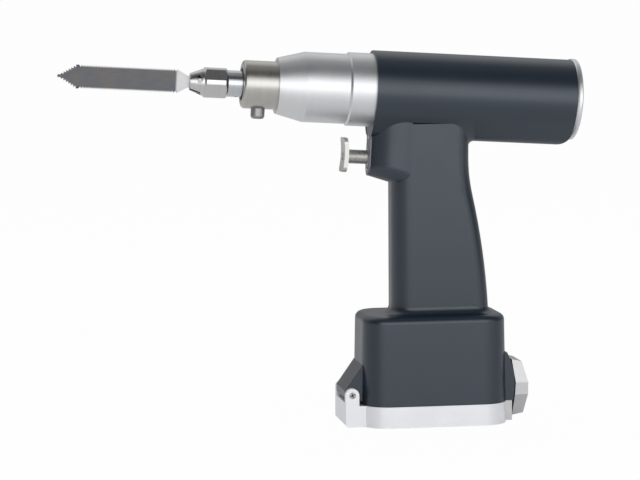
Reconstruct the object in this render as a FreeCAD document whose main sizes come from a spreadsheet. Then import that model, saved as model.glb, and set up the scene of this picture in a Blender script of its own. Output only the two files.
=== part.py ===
import FreeCAD, Part
import math
import os
import re
import Sketcher
from FreeCAD import Placement, Rotation, Vector

# Surgical reciprocating saw: a pistol-shaped battery tool in millimetres.
# +Z is up, the blade points along -X, and the origin is the middle of the lid's flat underside.
# The barrel is raised and tilted nose-up: its pieces are drawn on the barrel's own axis,
# with x rearwards from the point above the origin, and are then placed on that axis.

SIZES = {
    # Allowances: how far a cutting shape runs past a face, and the air left between seated pieces
    "overcut": 1.0,
    "seat_gap": 0.1,
    # Barrel line
    "barrel_height": 190.0,
    "barrel_tilt": 3.35,
    # Barrel tube of the housing
    "tube_radius": 22.8,
    "tube_front": 34.4,
    "tube_rear": 82.0,
    "tube_bore": 19.8,
    "keel_depth": 26.4,
    "keel_slope": 38.0,
    "keel_corner": 8.0,
    "keel_end_radius": 7.5,
    # Front ring and its bearing seat
    "ring_radius": 21.0,
    "ring_length": 15.1,
    "ring_bevel": 1.2,
    "spigot_length": 5.0,
    "spigot_wall": 2.3,
    "bearing_radius": 11.0,
    "bearing_width": 7.0,
    "bearing_lip": 1.5,
    "bearing_lip_width": 2.0,
    "bearing_race": 1.6,
    "bearing_shield_depth": 0.5,
    # Nose
    "nose_radius": 20.0,
    "nose_length": 24.5,
    "cone_radius": 16.0,
    "cone_length": 15.35,
    "nose_recess_radius": 16.0,
    "nose_recess_depth": 3.0,
    "sleeve_chamber_gap": 0.3,
    "nose_wall": 2.2,
    # Collar
    "collar_radius": 13.7,
    "collar_length": 19.8,
    "collar_round": 2.0,
    "collar_spigot_radius": 12.0,
    "collar_spigot_length": 3.0,
    "bush_radius": 9.5,
    "seal_width": 2.4,
    "seal_lip_length": 0.6,
    "seal_lip_rise": 0.7,
    # Spindle
    "spindle_radius": 7.5,
    "neck_length": 8.3,
    "running_fit": 0.05,
    "seal_gap": 0.08,
    "stub_radius": 5.0,
    "stub_length": 10.5,
    "sleeve_radius": 14.0,
    "sleeve_front": 81.0,
    "sleeve_length": 19.0,
    "sleeve_floor": 2.5,
    "sleeve_bevel": 1.0,
    "neck_hole_place": 5.0,
    "neck_hole_radius": 0.9,
    "neck_hole_turn": 12.0,
    # Cam drive
    "stroke": 3.0,
    "drum_radius": 11.0,
    "drum_gap": 0.4,
    "drum_front_gap": 2.0,
    "drum_length": 17.0,
    "groove_depth": 3.2,
    "roller_radius": 2.5,
    "roller_height": 2.8,
    "roller_floor_gap": 0.4,
    "groove_side_gap": 0.65,
    "cam_place": 68.0,
    "follower_radius": 2.0,
    "follower_tip_radius": 1.3,
    "follower_tip_proud": 0.2,
    "follower_head_radius": 3.0,
    "follower_seat": 13.4,
    "follower_head_top": 16.3,
    "keyway_gap": 0.3,
    "keyway_side_gap": 0.1,
    # Chuck
    "hex_length": 13.5,
    "hex_flats": 17.0,
    "hex_turned_radius": 9.15,
    "hex_bevel": 0.9,
    "hex_rear_bevel": 1.6,
    "hex_offset": 8.0,
    "stub_end_gap": 0.3,
    "chuck_cone_length": 7.9,
    "chuck_cone_rear": 7.9,
    "chuck_cone_front": 4.9,
    "chuck_slit": 1.5,
    "chuck_slit_depth": 5.2,
    "slot_twist": 21.0,
    "chuck_rest_turn": 11.5,
    "chuck_hole_radius": 1.35,
    # Blade
    "blade_length": 67.5,
    "blade_width": 13.4,
    "blade_thickness": 1.2,
    "blade_tip_length": 10.5,
    "blade_tip_half": 0.4,
    "tooth_pitch": 1.63,
    "tooth_depth": 1.25,
    "tip_tooth_depth": 0.7,
    "shoulder_length": 6.3,
    "shank_width": 6.4,
    "shank_out": 7.2,
    "tang_depth": 10.0,
    "tang_gap": 0.05,
    "tang_end_gap": 0.3,
    "cross_pin_radius": 1.1,
    "cross_pin_inset": 1.6,
    # Lock button
    "lock_place": 99.2,
    "lock_radius": 4.0,
    "lock_gap": 0.05,
    "lock_top": 19.3,
    "lock_shoulder": 13.2,
    "lock_round": 1.8,
    "lock_tip_radius": 1.8,
    "lock_tip_end": 7.9,
    "lock_tip_gap": 0.25,
    "lock_travel": 2.5,
    "lock_slot_floor": 0.5,
    "lock_spring_wire": 0.35,
    "lock_spring_gap": 0.4,
    # Motor
    "shaft_radius": 4.0,
    "shaft_bevel": 0.5,
    "shaft_rear": 61.0,
    "stator_front": 22.0,
    "stator_length": 64.0,
    "stator_bore": 12.2,
    "air_gap": 0.7,
    "magnet_inset": 1.0,
    "magnet_bevel": 1.0,
    "winding_length": 5.5,
    "winding_inner": 13.2,
    "winding_outer": 18.8,
    "winding_round": 2.0,
    # Rear cap
    "cap_radius": 21.0,
    "cap_dome": 4.2,
    "cap_rim": 0.9,
    "cap_rim_bevel": 0.6,
    "cap_floor": 1.5,
    "cap_spigot_length": 6.0,
    "cap_wall": 2.4,
    "hub_radius": 13.5,
    "hub_length": 27.5,
    "seal_ring_wire": 0.7,
    "seal_ring_gap": 0.05,
    "seal_ring_place": 3.0,
    # Grip
    "grip_width": 32.0,
    "grip_front": 23.7,
    "grip_rear_low": 32.2,
    "grip_low_height": 68.0,
    "grip_lean_low": 3.5,
    "grip_lean_high": 12.7,
    "grip_back_bend": 400.0,
    "grip_neck_bend": 97.0,
    "grip_front_round": 13.0,
    "grip_rear_round": 8.0,
    "grip_wall": 3.2,
    "cavity_head": 3.0,
    "lead_passage_front": 2.0,
    "lead_passage_size": 12.0,
    # Boss for the trigger, under the barrel and along it
    "boss_front": 33.4,
    "boss_below": 10.6,
    "boss_slope": 14.4,
    "boss_corner": 5.5,
    "boss_middle": 24.6,
    "boss_middle_width": 27.0,
    "boss_rear": 12.0,
    "boss_rear_width": 31.0,
    "boss_rear_corner": 9.0,
    "plate_width": 12.0,
    "plate_top_width": 22.0,
    "plate_top_drop": 20.6,
    "plate_flare": 7.4,
    "plate_flare_bend": 10.0,
    "plate_thickness": 0.8,
    "screw_low_gap": 1.9,
    "screw_high_gap": 6.2,
    "screw_radius": 0.8,
    "screw_head_radius": 1.3,
    "screw_head_height": 0.3,
    "screw_head_bevel": 0.2,
    "screw_length": 5.0,
    "screw_end_gap": 0.5,
    # Trigger
    "trigger_drop": 38.5,
    "stem_radius": 4.0,
    "stem_front": 46.3,
    "stem_rear": 15.5,
    "stem_tenon_radius": 2.5,
    "stem_tenon_gap": 0.3,
    "guide_radius": 5.3,
    "guide_proud": 0.6,
    "guide_bevel": 0.4,
    "guide_rear": 22.0,
    "pad_height": 19.6,
    "pad_rise": 0.9,
    "pad_thickness": 2.4,
    "pad_width": 14.0,
    "pad_hollow": 0.95,
    "pad_corner": 3.0,
    "trigger_travel": 8.0,
    "clip_radius": 5.6,
    "clip_groove_radius": 3.4,
    "clip_thickness": 1.0,
    "clip_gap": 0.2,
    "trigger_bore": 8.5,
    "sensor_gap": 1.1,
    "board_thickness": 1.6,
    "trigger_magnet_radius": 2.5,
    "trigger_magnet_length": 3.0,
    "trigger_spring_wire": 0.5,
    "trigger_spring_radius": 4.9,
    # Battery box
    "box_length": 85.0,
    "box_width": 54.0,
    "box_centre": -0.6,
    "box_corner": 16.0,
    "box_top": 63.5,
    "box_taper": 1.2,
    "box_top_round": 4.0,
    "box_wall": 3.0,
    "bay_end_inset": 0.5,
    # Lid
    "lid_height": 12.2,
    "lid_gap": 0.3,
    "lid_floor": 2.5,
    "gasket_width": 1.4,
    "gasket_depth": 1.0,
    "gasket_proud": 0.2,
    # Hinge
    "hinge_reach": 6.0,
    "hinge_z": 18.4,
    "hinge_pin_radius": 1.95,
    "ear_radius": 3.9,
    "ear_face": 18.3,
    "ear_thickness": 4.0,
    "knuckle_gap": 0.3,
    "wedge_top": 35.5,
    "wedge_top_depth": 0.6,
    "wedge_front_height": 20.6,
    "block_bevel": 1.2,
    # Latch
    "latch_reach": 8.1,
    "latch_z": 21.5,
    "latch_half_width": 15.0,
    "latch_narrow_half": 10.5,
    "latch_cheek": 1.6,
    "latch_pin_radius": 1.3,
    "latch_pin_inset": 0.8,
    "latch_lug_radius": 2.6,
    "latch_lug_half_width": 10.0,
    "latch_spring_room": 8.0,
    "latch_spring_gap": 0.2,
    "latch_spring_wire": 0.4,
    "latch_boss_half_width": 16.5,
    "latch_boss_depth": 3.4,
    "latch_boss_bend": 42.0,
    "latch_boss_top": 40.5,
    "lever_bottom": 3.0,
    "lever_inner": 4.2,
    "lever_inner_middle": 5.5,
    "lever_inner_top": 4.1,
    "lever_top": 35.5,
    "lever_top_rear": 34.3,
    "lever_top_reach": 9.8,
    "lever_middle": 22.5,
    "lever_middle_reach": 12.9,
    "lever_knee": 15.5,
    "lever_knee_reach": 12.7,
    "lever_foot": 4.3,
    "lever_foot_reach": 10.6,
    "lever_wall": 1.6,
    "lever_floor": 7.5,
    "lever_floor_reach": 9.4,
    "catch_half_width": 14.0,
    "catch_bottom": 0.6,
    # Battery and electronics
    "battery_top": 48.5,
    "battery_bottom": 4.0,
    "battery_side_gap": 0.5,
    "battery_front_gap": 0.3,
    "battery_rear_gap": 1.0,
    "battery_corner": 12.5,
    "battery_bevel": 1.5,
    "battery_pad_end_inset": 11.0,
    "battery_pad_side_inset": 9.0,
    "battery_pad_corner": 6.0,
    "battery_pad_gap": 0.2,
    "terminal_pitch": 7.0,
    "terminal_size": 5.0,
    "terminal_height": 0.8,
    "contact_plate_thickness": 2.5,
    "contact_plate_margin": 2.0,
    "contact_plate_corner": 5.0,
    "contact_boss_height": 5.0,
    "contact_boss_width": 14.0,
    "contact_boss_margin": 1.5,
    "contact_boss_corner": 3.0,
    "contact_pin_radius": 1.1,
    "contact_pin_tail": 2.0,
    "board_bottom": 66.0,
    "control_board_width": 37.0,
    "board_top": 138.0,
    "board_side": 3.0,
    "board_end_gap": 0.5,
    "switch_front": 14.0,
    "switch_pitch": 9.0,
    "switch_length": 7.0,
    "switch_depth": 5.0,
    "switch_height": 10.0,
    "switch_drop": 14.0,
    "storage_pitch": 14.0,
    "storage_radius": 5.0,
    "storage_length": 9.0,
    "storage_rise": 22.0,
    "chip_front": 7.0,
    "chip_size": 12.0,
    "chip_thickness": 1.5,
    "chip_rise": 38.0,
    "lead_radius": 0.9,
    "lead_pitch": 3.0,
    "lead_front": 5.0,
}

# Places worked out from the sizes above, as formulas that other pieces share
RING_FRONT = "(-tube_front - ring_length)"
NOSE_MIDDLE = "(-tube_front - ring_length - nose_length)"
NOSE_FRONT = "(-tube_front - ring_length - nose_length - cone_length)"
COLLAR_FRONT = "(-tube_front - ring_length - nose_length - cone_length - collar_length)"
HEX_REAR = "(-tube_front - ring_length - nose_length - cone_length - collar_length - neck_length)"
HEX_FRONT = HEX_REAR[:-1] + " - hex_length)"
CHUCK_FRONT = HEX_FRONT[:-1] + " - chuck_cone_length)"
BLADE_REAR = CHUCK_FRONT[:-1] + " - shank_out)"
BUSH_REAR = NOSE_FRONT[:-1] + " + collar_spigot_length)"
BUSH_FRONT = COLLAR_FRONT[:-1] + " + seal_width)"
SLEEVE_BORE = "(drum_radius + drum_gap)"
BOX_REAR = "(box_centre + box_length / 2)"
BOX_FRONT = "(box_centre - box_length / 2)"
BOX_BOTTOM = "(lid_height + lid_gap)"
BAY_TOP = "(box_top - box_wall)"
PLATE_FRONT = "(-boss_front - plate_thickness)"
BOSS_BOTTOM = "(-trigger_drop - boss_below)"
TRIGGER_HEIGHT = "(barrel_height - trigger_drop * cos(barrel_tilt))"
HINGE_X = BOX_FRONT[:-1] + " - hinge_reach)"
LATCH_X = BOX_REAR[:-1] + " + latch_reach)"

document = FreeCAD.newDocument("ReciprocatingSaw")
sheet = document.addObject("Spreadsheet::Sheet", "Sizes")
for row, (alias, amount) in enumerate(SIZES.items(), start=1):
    sheet.set("A%d" % row, alias)
    sheet.set("B%d" % row, str(amount))
    sheet.setAlias("B%d" % row, alias)
document.recompute()

parts = []


def formula(text):
    """The text with each size's name pointed at the sheet."""
    return re.sub(r"[a-z_]+", lambda word: "Sizes." + word[0] if word[0] in SIZES else word[0], str(text))


def size(text):
    """The value of a formula on the sheet."""
    return float(sheet.evalExpression(formula(text)))


def bind(item, **formulas):
    """Ties properties to formulas; a double underscore in a keyword stands for a dot."""
    for name, text in formulas.items():
        item.setExpression(name.replace("__", "."), formula(text))


def plane(body, role):
    return next(item for item in body.Origin.OriginFeatures if item.Role == role)


def constrain(sketch, kind, target, text):
    """Ties one coordinate of a sketch point to a formula."""
    if text == "0":
        sketch.addConstraint(Sketcher.Constraint("PointOnObject", *target, -2 if kind == "DistanceX" else -1))
    else:
        index = sketch.addConstraint(Sketcher.Constraint(kind, -1, 1, *target, size(text)))
        sketch.setExpression("Constraints[%d]" % index, formula(text))


def trace(sketch, points):
    """Draws a closed outline. Each point is a pair of formulas, and a third one is the radius
    of the arc that leaves it: above zero it turns left, below zero right."""
    places = [Vector(size(point[0]), size(point[1]), 0) for point in points]
    starts, ends = [], []
    for index, point in enumerate(points):
        here, there = places[index], places[(index + 1) % len(points)]
        if len(point) == 2:
            edge = sketch.addGeometry(Part.LineSegment(here, there))
            starts.append((edge, 1))
            ends.append((edge, 2))
            continue
        radius = size(point[2])
        chord = there - here
        rise = math.sqrt(max(radius ** 2 - (chord.Length / 2) ** 2, 0))
        side = Vector(-chord.y, chord.x, 0).normalize() * math.copysign(rise, radius)
        centre = (here + there) * 0.5 + side
        first, last = (here, there) if radius > 0 else (there, here)
        angles = [math.atan2(place.y - centre.y, place.x - centre.x) for place in (first, last)]
        circle = Part.Circle(centre, Vector(0, 0, 1), abs(radius))
        edge = sketch.addGeometry(Part.ArcOfCircle(circle, *angles))
        starts.append((edge, 1 if radius > 0 else 2))
        ends.append((edge, 2 if radius > 0 else 1))
        limit = sketch.addConstraint(Sketcher.Constraint("Radius", edge, abs(radius)))
        sketch.setExpression("Constraints[%d]" % limit, "abs(%s)" % formula(point[2]))
    for index, point in enumerate(points):
        sketch.addConstraint(Sketcher.Constraint("Coincident", *ends[index - 1], *starts[index]))
        constrain(sketch, "DistanceX", starts[index], point[0])
        constrain(sketch, "DistanceY", starts[index], point[1])


def ring(sketch, across, up, radius):
    """Adds a circle to a sketch, its centre and radius tied to formulas."""
    centre = Vector(size(across), size(up), 0)
    edge = sketch.addGeometry(Part.Circle(centre, Vector(0, 0, 1), size(radius)))
    constrain(sketch, "DistanceX", (edge, 3), across)
    constrain(sketch, "DistanceY", (edge, 3), up)
    limit = sketch.addConstraint(Sketcher.Constraint("Radius", edge, size(radius)))
    sketch.setExpression("Constraints[%d]" % limit, formula(radius))


def sketch_on(body, role, points=None, circles=(), lift="0", turn=None, roll="0"):
    """A sketch on one of the body's origin planes: lifted along its normal, or shifted and turned
    in the plane, or rolled about the plane's own horizontal axis."""
    sketch = body.newObject("Sketcher::SketchObject", body.Name + "_sketch")
    sketch.AttachmentSupport = [(plane(body, role), "")]
    sketch.MapMode = "FlatFace"
    if turn:
        sketch.AttachmentOffset = Placement(Vector(), Rotation(Vector(0, 0, 1), size(turn[1])))
        bind(sketch, AttachmentOffset__Base__x=turn[0], AttachmentOffset__Rotation__Angle=turn[1])
    elif roll != "0":
        sketch.AttachmentOffset = Placement(Vector(), Rotation(Vector(-1, 0, 0), size(roll)))
        bind(sketch, AttachmentOffset__Rotation__Angle=roll)
    elif lift != "0":
        bind(sketch, AttachmentOffset__Base__z=lift)
    if points:
        trace(sketch, points)
    for circle in circles:
        ring(sketch, *circle)
    return sketch


def new_body(name):
    return document.addObject("PartDesign::Body", name)


def revolve(body, points, role="XZ_Plane", axis="H_Axis"):
    """Turns an outline round the sketch's own horizontal axis."""
    sketch = sketch_on(body, role, points)
    feature = body.newObject("PartDesign::Revolution", body.Name + "_turned")
    feature.Profile = sketch
    feature.ReferenceAxis = (sketch, [axis])
    feature.Angle = 360
    return feature


def extrude(body, role, length, points=None, circles=(), lift="0", middle=False, taper=None, back=False):
    """Pads an outline to a length, to one side of its plane or evenly to both."""
    sketch = sketch_on(body, role, points, circles, lift)
    feature = body.newObject("PartDesign::Pad", body.Name + "_pad")
    feature.Profile = sketch
    feature.Midplane = middle
    feature.Reversed = back
    bind(feature, Length=length)
    if taper:
        bind(feature, TaperAngle=taper)
    return feature


def hollow(body, role, depth, points=None, circles=(), lift="0", middle=False, back=False, roll="0"):
    """Pockets an outline. The cut goes against the plane's normal unless back is set."""
    document.recompute()
    before = body.Shape.Volume
    sketch = sketch_on(body, role, points, circles, lift, roll=roll)
    feature = body.newObject("PartDesign::Pocket", body.Name + "_pocket")
    feature.Profile = sketch
    feature.Midplane = middle
    feature.Reversed = back
    bind(feature, Length=depth)
    document.recompute()
    if body.Shape.Volume > before - 1e-6:
        raise RuntimeError("a pocket of %s cuts nothing" % body.Name)
    return feature


def rounded(body, radius, chosen, kind="PartDesign::Fillet"):
    """Rounds or bevels the edges that the chosen test picks from the body's present shape."""
    document.recompute()
    tip = body.Tip
    names = ["Edge%d" % number for number, edge in enumerate(tip.Shape.Edges, start=1) if chosen(edge)]
    if not names:
        raise RuntimeError("no edge to round on %s" % body.Name)
    feature = body.newObject(kind, body.Name + "_edges")
    feature.Base = (tip, names)
    if kind == "PartDesign::Fillet":
        bind(feature, Radius=radius)
    else:
        bind(feature, Size=radius)
    return feature


def on_barrel(item, drop="0"):
    """Places an item that was drawn on the barrel's axis, or on a line so far under it."""
    item.Placement = Placement(Vector(), Rotation(Vector(0, 1, 0), size("barrel_tilt")))
    bind(item, Placement__Base__x="-%s * sin(barrel_tilt)" % drop,
         Placement__Base__z="barrel_height - %s * cos(barrel_tilt)" % drop,
         Placement__Rotation__Angle="barrel_tilt")
    return item


def keep(item, label):
    """Names a finished sub-part and lists it for the hand-in."""
    item.Label = label
    parts.append(item)
    return item


def turned(name, points):
    body = new_body(name)
    revolve(body, points)
    return body


def combine(kind, name, items):
    feature = document.addObject(kind, name)
    if kind == "Part::Compound":
        feature.Links = items
    else:
        feature.Shapes = items
    return feature


def cut(name, base, tool):
    feature = document.addObject("Part::Cut", name)
    feature.Base = base
    feature.Tool = tool
    return feature


def common(name, base, tool):
    feature = document.addObject("Part::Common", name)
    feature.Base = base
    feature.Tool = tool
    return feature


def near(one, other):
    return abs(one - other) < 1e-3


def rod(name, radius, length, start, axis):
    """A plain cylinder from a start point, along one of the axes."""
    feature = document.addObject("Part::Cylinder", name)
    turns = {"x": Rotation(Vector(0, 1, 0), 90), "y": Rotation(Vector(1, 0, 0), -90), "z": Rotation()}
    feature.Placement = Placement(Vector(), turns[axis])
    bind(feature, Radius=radius, Height=length)
    bind(feature, Placement__Base__x=start[0], Placement__Base__y=start[1], Placement__Base__z=start[2])
    return feature


def block(name, low, sides):
    feature = document.addObject("Part::Box", name)
    bind(feature, Length=sides[0], Width=sides[1], Height=sides[2])
    bind(feature, Placement__Base__x=low[0], Placement__Base__y=low[1], Placement__Base__z=low[2])
    return feature


def spring(name, radius, wire, length, turns):
    """A coil spring along its own Z, with round wire."""
    body = new_body(name)
    sketch = sketch_on(body, "XZ_Plane", circles=[(radius, wire, wire)])
    feature = body.newObject("PartDesign::AdditiveHelix", name + "_coil")
    feature.Profile = sketch
    feature.ReferenceAxis = (sketch, ["V_Axis"])
    feature.Mode = "height-turns-growth"
    feature.Turns = turns
    feature.Growth = 0
    bind(feature, Height="%s - 2 * %s" % (length, wire))
    return body


def rounded_plan(length, width, corner, centre="0"):
    """The outline of a rounded rectangle, as eight points round a centre on the X axis."""
    front, rear = "(%s - %s / 2)" % (centre, length), "(%s + %s / 2)" % (centre, length)
    side = "(%s / 2)" % width
    return [
        ("%s + %s" % (front, corner), "-%s" % side),
        ("%s - %s" % (rear, corner), "-%s" % side, corner),
        (rear, "-%s + %s" % (side, corner)),
        (rear, "%s - %s" % (side, corner), corner),
        ("%s - %s" % (rear, corner), side),
        ("%s + %s" % (front, corner), side, corner),
        (front, "%s - %s" % (side, corner)),
        (front, "-%s + %s" % (side, corner), corner),
    ]


# Housing: the barrel tube, with a keel under it
tube_form = new_body("tube_form")
KEEL_MEET = "((tube_radius - keel_depth * sin(keel_slope)) / cos(keel_slope))"
KEEL_TANGENT = "(keel_corner / tan(45 + keel_slope / 2))"
KEEL_FLAT = "(%s - %s)" % (KEEL_MEET, KEEL_TANGENT)
KEEL_BEND = "(%s + %s * sin(keel_slope))" % (KEEL_MEET, KEEL_TANGENT)
KEEL_BEND_DROP = "(keel_depth - %s * cos(keel_slope))" % KEEL_TANGENT
KEEL_LEAVE = "(tube_radius * cos(keel_slope))"
KEEL_LEAVE_DROP = "(tube_radius * sin(keel_slope))"
extrude(tube_form, "YZ_Plane", "tube_front + tube_rear", lift="-tube_front", points=[
    ("-" + KEEL_FLAT, "-keel_depth"),
    (KEEL_FLAT, "-keel_depth", "keel_corner"),
    (KEEL_BEND, "-" + KEEL_BEND_DROP),
    (KEEL_LEAVE, "-" + KEEL_LEAVE_DROP, "tube_radius"),
    ("tube_radius", "0", "tube_radius"),
    ("0", "tube_radius", "tube_radius"),
    ("-tube_radius", "0", "tube_radius"),
    ("-" + KEEL_LEAVE, "-" + KEEL_LEAVE_DROP),
    ("-" + KEEL_BEND, "-" + KEEL_BEND_DROP, "keel_corner"),
])
KEEL_START = "(tube_rear - keel_end_radius)"
hollow(tube_form, "XZ_Plane", "3 * tube_radius", middle=True, points=[
    (KEEL_START, "-keel_depth", "keel_end_radius"),
    ("tube_rear", "keel_end_radius - keel_depth"),
    ("tube_rear + keel_end_radius", "keel_end_radius - keel_depth"),
    ("tube_rear + keel_end_radius", "-keel_depth - keel_end_radius"),
    (KEEL_START, "-keel_depth - keel_end_radius"),
])
on_barrel(tube_form)

# Housing: the grip, drawn from the side, its long edges rounded
grip_form = new_body("grip_form")
GRIP_TOP = "(barrel_height - 3 * tube_radius / 4)"
GRIP_FOOT = "(box_top - box_top_round - overcut)"


def grip_back(inset, foot, top):
    """The grip's back edge, from its foot to its top and set in by a wall: a long bulge that
    leans forward as it rises, and then a hollow bend that stands it upright under the barrel."""
    low_x, low_z = "grip_rear_low", "grip_low_height"
    high_x = "(%s + grip_back_bend * (cos(grip_lean_high) - cos(grip_lean_low)))" % low_x
    high_z = "(%s + grip_back_bend * (sin(grip_lean_high) - sin(grip_lean_low)))" % low_z
    neck_x = "(%s - grip_neck_bend * (1 - cos(grip_lean_high)))" % high_x
    neck_z = "(%s + grip_neck_bend * sin(grip_lean_high))" % high_z
    return [
        ("%s + (%s - %s) * tan(grip_lean_low) - %s / cos(grip_lean_low)" % (low_x, low_z, foot, inset), foot),
        ("%s - %s * cos(grip_lean_low)" % (low_x, inset), "%s - %s * sin(grip_lean_low)" % (low_z, inset),
         "grip_back_bend - %s" % inset),
        ("%s - %s * cos(grip_lean_high)" % (high_x, inset), "%s - %s * sin(grip_lean_high)" % (high_z, inset),
         "-(grip_neck_bend + %s)" % inset),
        ("%s - %s" % (neck_x, inset), neck_z),
        ("%s - %s" % (neck_x, inset), top),
    ]


grip_points = [("-grip_front", GRIP_FOOT)] + grip_back("0", GRIP_FOOT, GRIP_TOP) + [("-grip_front", GRIP_TOP)]
extrude(grip_form, "XZ_Plane", "grip_width", middle=True, points=grip_points)
grip_half = size("grip_width") / 2


def long_grip_edge(front):
    def test(edge):
        middle = edge.valueAt((edge.FirstParameter + edge.LastParameter) / 2)
        spread = edge.BoundBox
        tall = spread.ZLength > 5 and near(abs(middle.y), grip_half) and spread.YLength < 1e-3
        return tall and (middle.x < 0) == front
    return test


rounded(grip_form, "grip_front_round", long_grip_edge(True))
rounded(grip_form, "grip_rear_round", long_grip_edge(False))

# Housing: the boss that carries the trigger, lofted from the plate's width back into the grip
boss_form = new_body("boss_form")
BOSS_TOP = "(-3 * tube_radius / 5)"


def boss_section(width, place, corner):
    """The boss's outline across the barrel: upright sides, and a rounded foot that drops to the rear."""
    half = "(%s / 2)" % width
    foot = "(%s - (boss_front - %s) * tan(boss_slope))" % (BOSS_BOTTOM, place)
    return [
        ("-" + half, BOSS_TOP),
        ("-" + half, "%s + %s" % (foot, corner), corner),
        ("%s - %s" % (corner, half), foot),
        ("%s - %s" % (half, corner), foot, corner),
        (half, "%s + %s" % (foot, corner)),
        (half, BOSS_TOP),
    ]


boss_sketches = []
for width, place, corner in (("plate_width", "boss_front", "boss_corner"),
                             ("boss_middle_width", "boss_middle", "boss_rear_corner"),
                             ("boss_rear_width", "boss_rear", "boss_rear_corner")):
    outline = boss_section(width, place, corner)
    boss_sketches.append(sketch_on(boss_form, "YZ_Plane", outline, lift="-" + place))
boss_loft = boss_form.newObject("PartDesign::AdditiveLoft", "boss_loft")
boss_loft.Profile = boss_sketches[0]
boss_loft.Sections = boss_sketches[1:]
on_barrel(boss_form)

# Housing: the battery box, drafted and rounded at its top
box_form = new_body("box_form")
extrude(box_form, "XY_Plane", "box_top - %s" % BOX_BOTTOM, lift=BOX_BOTTOM, taper="-box_taper",
        points=rounded_plan("box_length", "box_width", "box_corner", "box_centre"))
rounded(box_form, "box_top_round", lambda edge: near(edge.BoundBox.ZMin, size("box_top")))

# Housing: the hinge block in front, a wedge that ends in a knuckle round the lid's pin
WEDGE_HALF = "(ear_face - ear_thickness - knuckle_gap)"
wedge_form = new_body("wedge_form")
extrude(wedge_form, "XZ_Plane", "2 * " + WEDGE_HALF, middle=True, points=[
    ("%s + box_wall" % BOX_FRONT, "wedge_top"),
    ("%s + wedge_top_depth" % BOX_FRONT, "wedge_top"),
    (HINGE_X + " - ear_radius", "wedge_front_height"),
    (HINGE_X + " - ear_radius", "hinge_z", "ear_radius"),
    (HINGE_X, "hinge_z - ear_radius"),
    ("%s + box_wall" % BOX_FRONT, "hinge_z - ear_radius"),
])

# Housing: the arched boss behind, with the two lugs of the latch
latch_boss_form = new_body("latch_boss_form")
extrude(latch_boss_form, "XZ_Plane", "2 * latch_boss_half_width", middle=True, points=[
    ("%s - box_wall" % BOX_REAR, BOX_BOTTOM),
    ("%s + latch_boss_depth" % BOX_REAR, BOX_BOTTOM, "latch_boss_bend"),
    (BOX_REAR, "latch_boss_top"),
    ("%s - box_wall" % BOX_REAR, "latch_boss_top"),
])
lug_form = new_body("lug_form")
extrude(lug_form, "XZ_Plane", "2 * latch_lug_half_width", middle=True, points=[
    ("%s - box_wall" % BOX_REAR, "latch_z - latch_lug_radius"),
    (LATCH_X, "latch_z - latch_lug_radius", "latch_lug_radius"),
    (LATCH_X + " + latch_lug_radius", "latch_z", "latch_lug_radius"),
    (LATCH_X, "latch_z + latch_lug_radius"),
    ("%s - box_wall" % BOX_REAR, "latch_z + latch_lug_radius"),
])

# Housing: the spaces inside it
bore_form = rod("bore_form", "tube_bore", "tube_front + tube_rear", ("-tube_front", "0", "0"), "x")
bore_turn = combine("Part::Compound", "bore_turn", [bore_form])
on_barrel(bore_turn)
BAY_LENGTH = "(box_length - 2 * (box_wall + bay_end_inset))"
BAY_WIDTH = "(box_width - 2 * box_wall)"
bay_form = new_body("bay_form")
extrude(bay_form, "XY_Plane", "%s - %s + overcut" % (BAY_TOP, BOX_BOTTOM), lift="%s - overcut" % BOX_BOTTOM,
        points=rounded_plan(BAY_LENGTH, BAY_WIDTH, "(box_corner - box_wall)", "box_centre"))
cavity_form = new_body("cavity_form")
CAVITY_FRONT = "(grip_wall - grip_front)"
SHELF = "(%s - trigger_bore - grip_wall)" % TRIGGER_HEIGHT
SENSOR_FRONT = "(trigger_travel + sensor_gap - stem_rear)"
SENSOR_REAR = "(trigger_travel + sensor_gap - stem_rear + board_thickness)"
SENSOR_WALL = "(%s * cos(barrel_tilt) - trigger_drop * sin(barrel_tilt))" % SENSOR_REAR
CAVITY_FOOT = "(%s - overcut)" % BAY_TOP
CAVITY_TOP = "(%s + trigger_bore + cavity_head)" % TRIGGER_HEIGHT
extrude(cavity_form, "XZ_Plane", "grip_width - 2 * grip_wall", middle=True, points=[
    (CAVITY_FRONT, CAVITY_FOOT),
] + grip_back("grip_wall", CAVITY_FOOT, CAVITY_TOP) + [
    (SENSOR_WALL, CAVITY_TOP),
    (SENSOR_WALL, SHELF),
    (CAVITY_FRONT, SHELF),
])
cavity_half = grip_half - size("grip_wall")


def long_cavity_edge(front):
    def test(edge):
        middle = edge.valueAt((edge.FirstParameter + edge.LastParameter) / 2)
        tall = edge.BoundBox.ZLength > 5 and near(abs(middle.y), cavity_half) and edge.BoundBox.YLength < 1e-3
        place = middle.x < size(CAVITY_FRONT) + 1 if front else middle.x > size("grip_front") / 2
        return tall and place
    return test


rounded(cavity_form, "grip_front_round - grip_wall", long_cavity_edge(True))
rounded(cavity_form, "grip_rear_round - grip_wall", long_cavity_edge(False))
SCREW_LOW = "(-trigger_drop - guide_radius - screw_low_gap)"
SCREW_HIGH = "(screw_high_gap + guide_radius - trigger_drop)"
SCREW_START = "(-boss_front - overcut)"
trigger_space = on_barrel(combine("Part::MultiFuse", "trigger_space", [
    rod("guide_hole", "guide_radius", "boss_front - guide_rear + overcut", (SCREW_START, "0", "-trigger_drop"), "x"),
    rod("spring_hole", "trigger_bore", "guide_rear + %s + overcut" % SENSOR_REAR,
        ("-guide_rear", "0", "-trigger_drop"), "x"),
    rod("screw_hole_low", "screw_radius", "screw_length + overcut", (SCREW_START, "0", SCREW_LOW), "x"),
    rod("screw_hole_high", "screw_radius", "screw_length + overcut", (SCREW_START, "0", SCREW_HIGH), "x"),
]))
lead_passage = block("lead_passage",
                     ("lead_passage_front", "-lead_passage_size / 2", TRIGGER_HEIGHT + " + trigger_bore"),
                     ("lead_passage_size", "lead_passage_size", "tube_radius"))
EAR_SPACE = "(ear_radius + knuckle_gap)"
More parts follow.
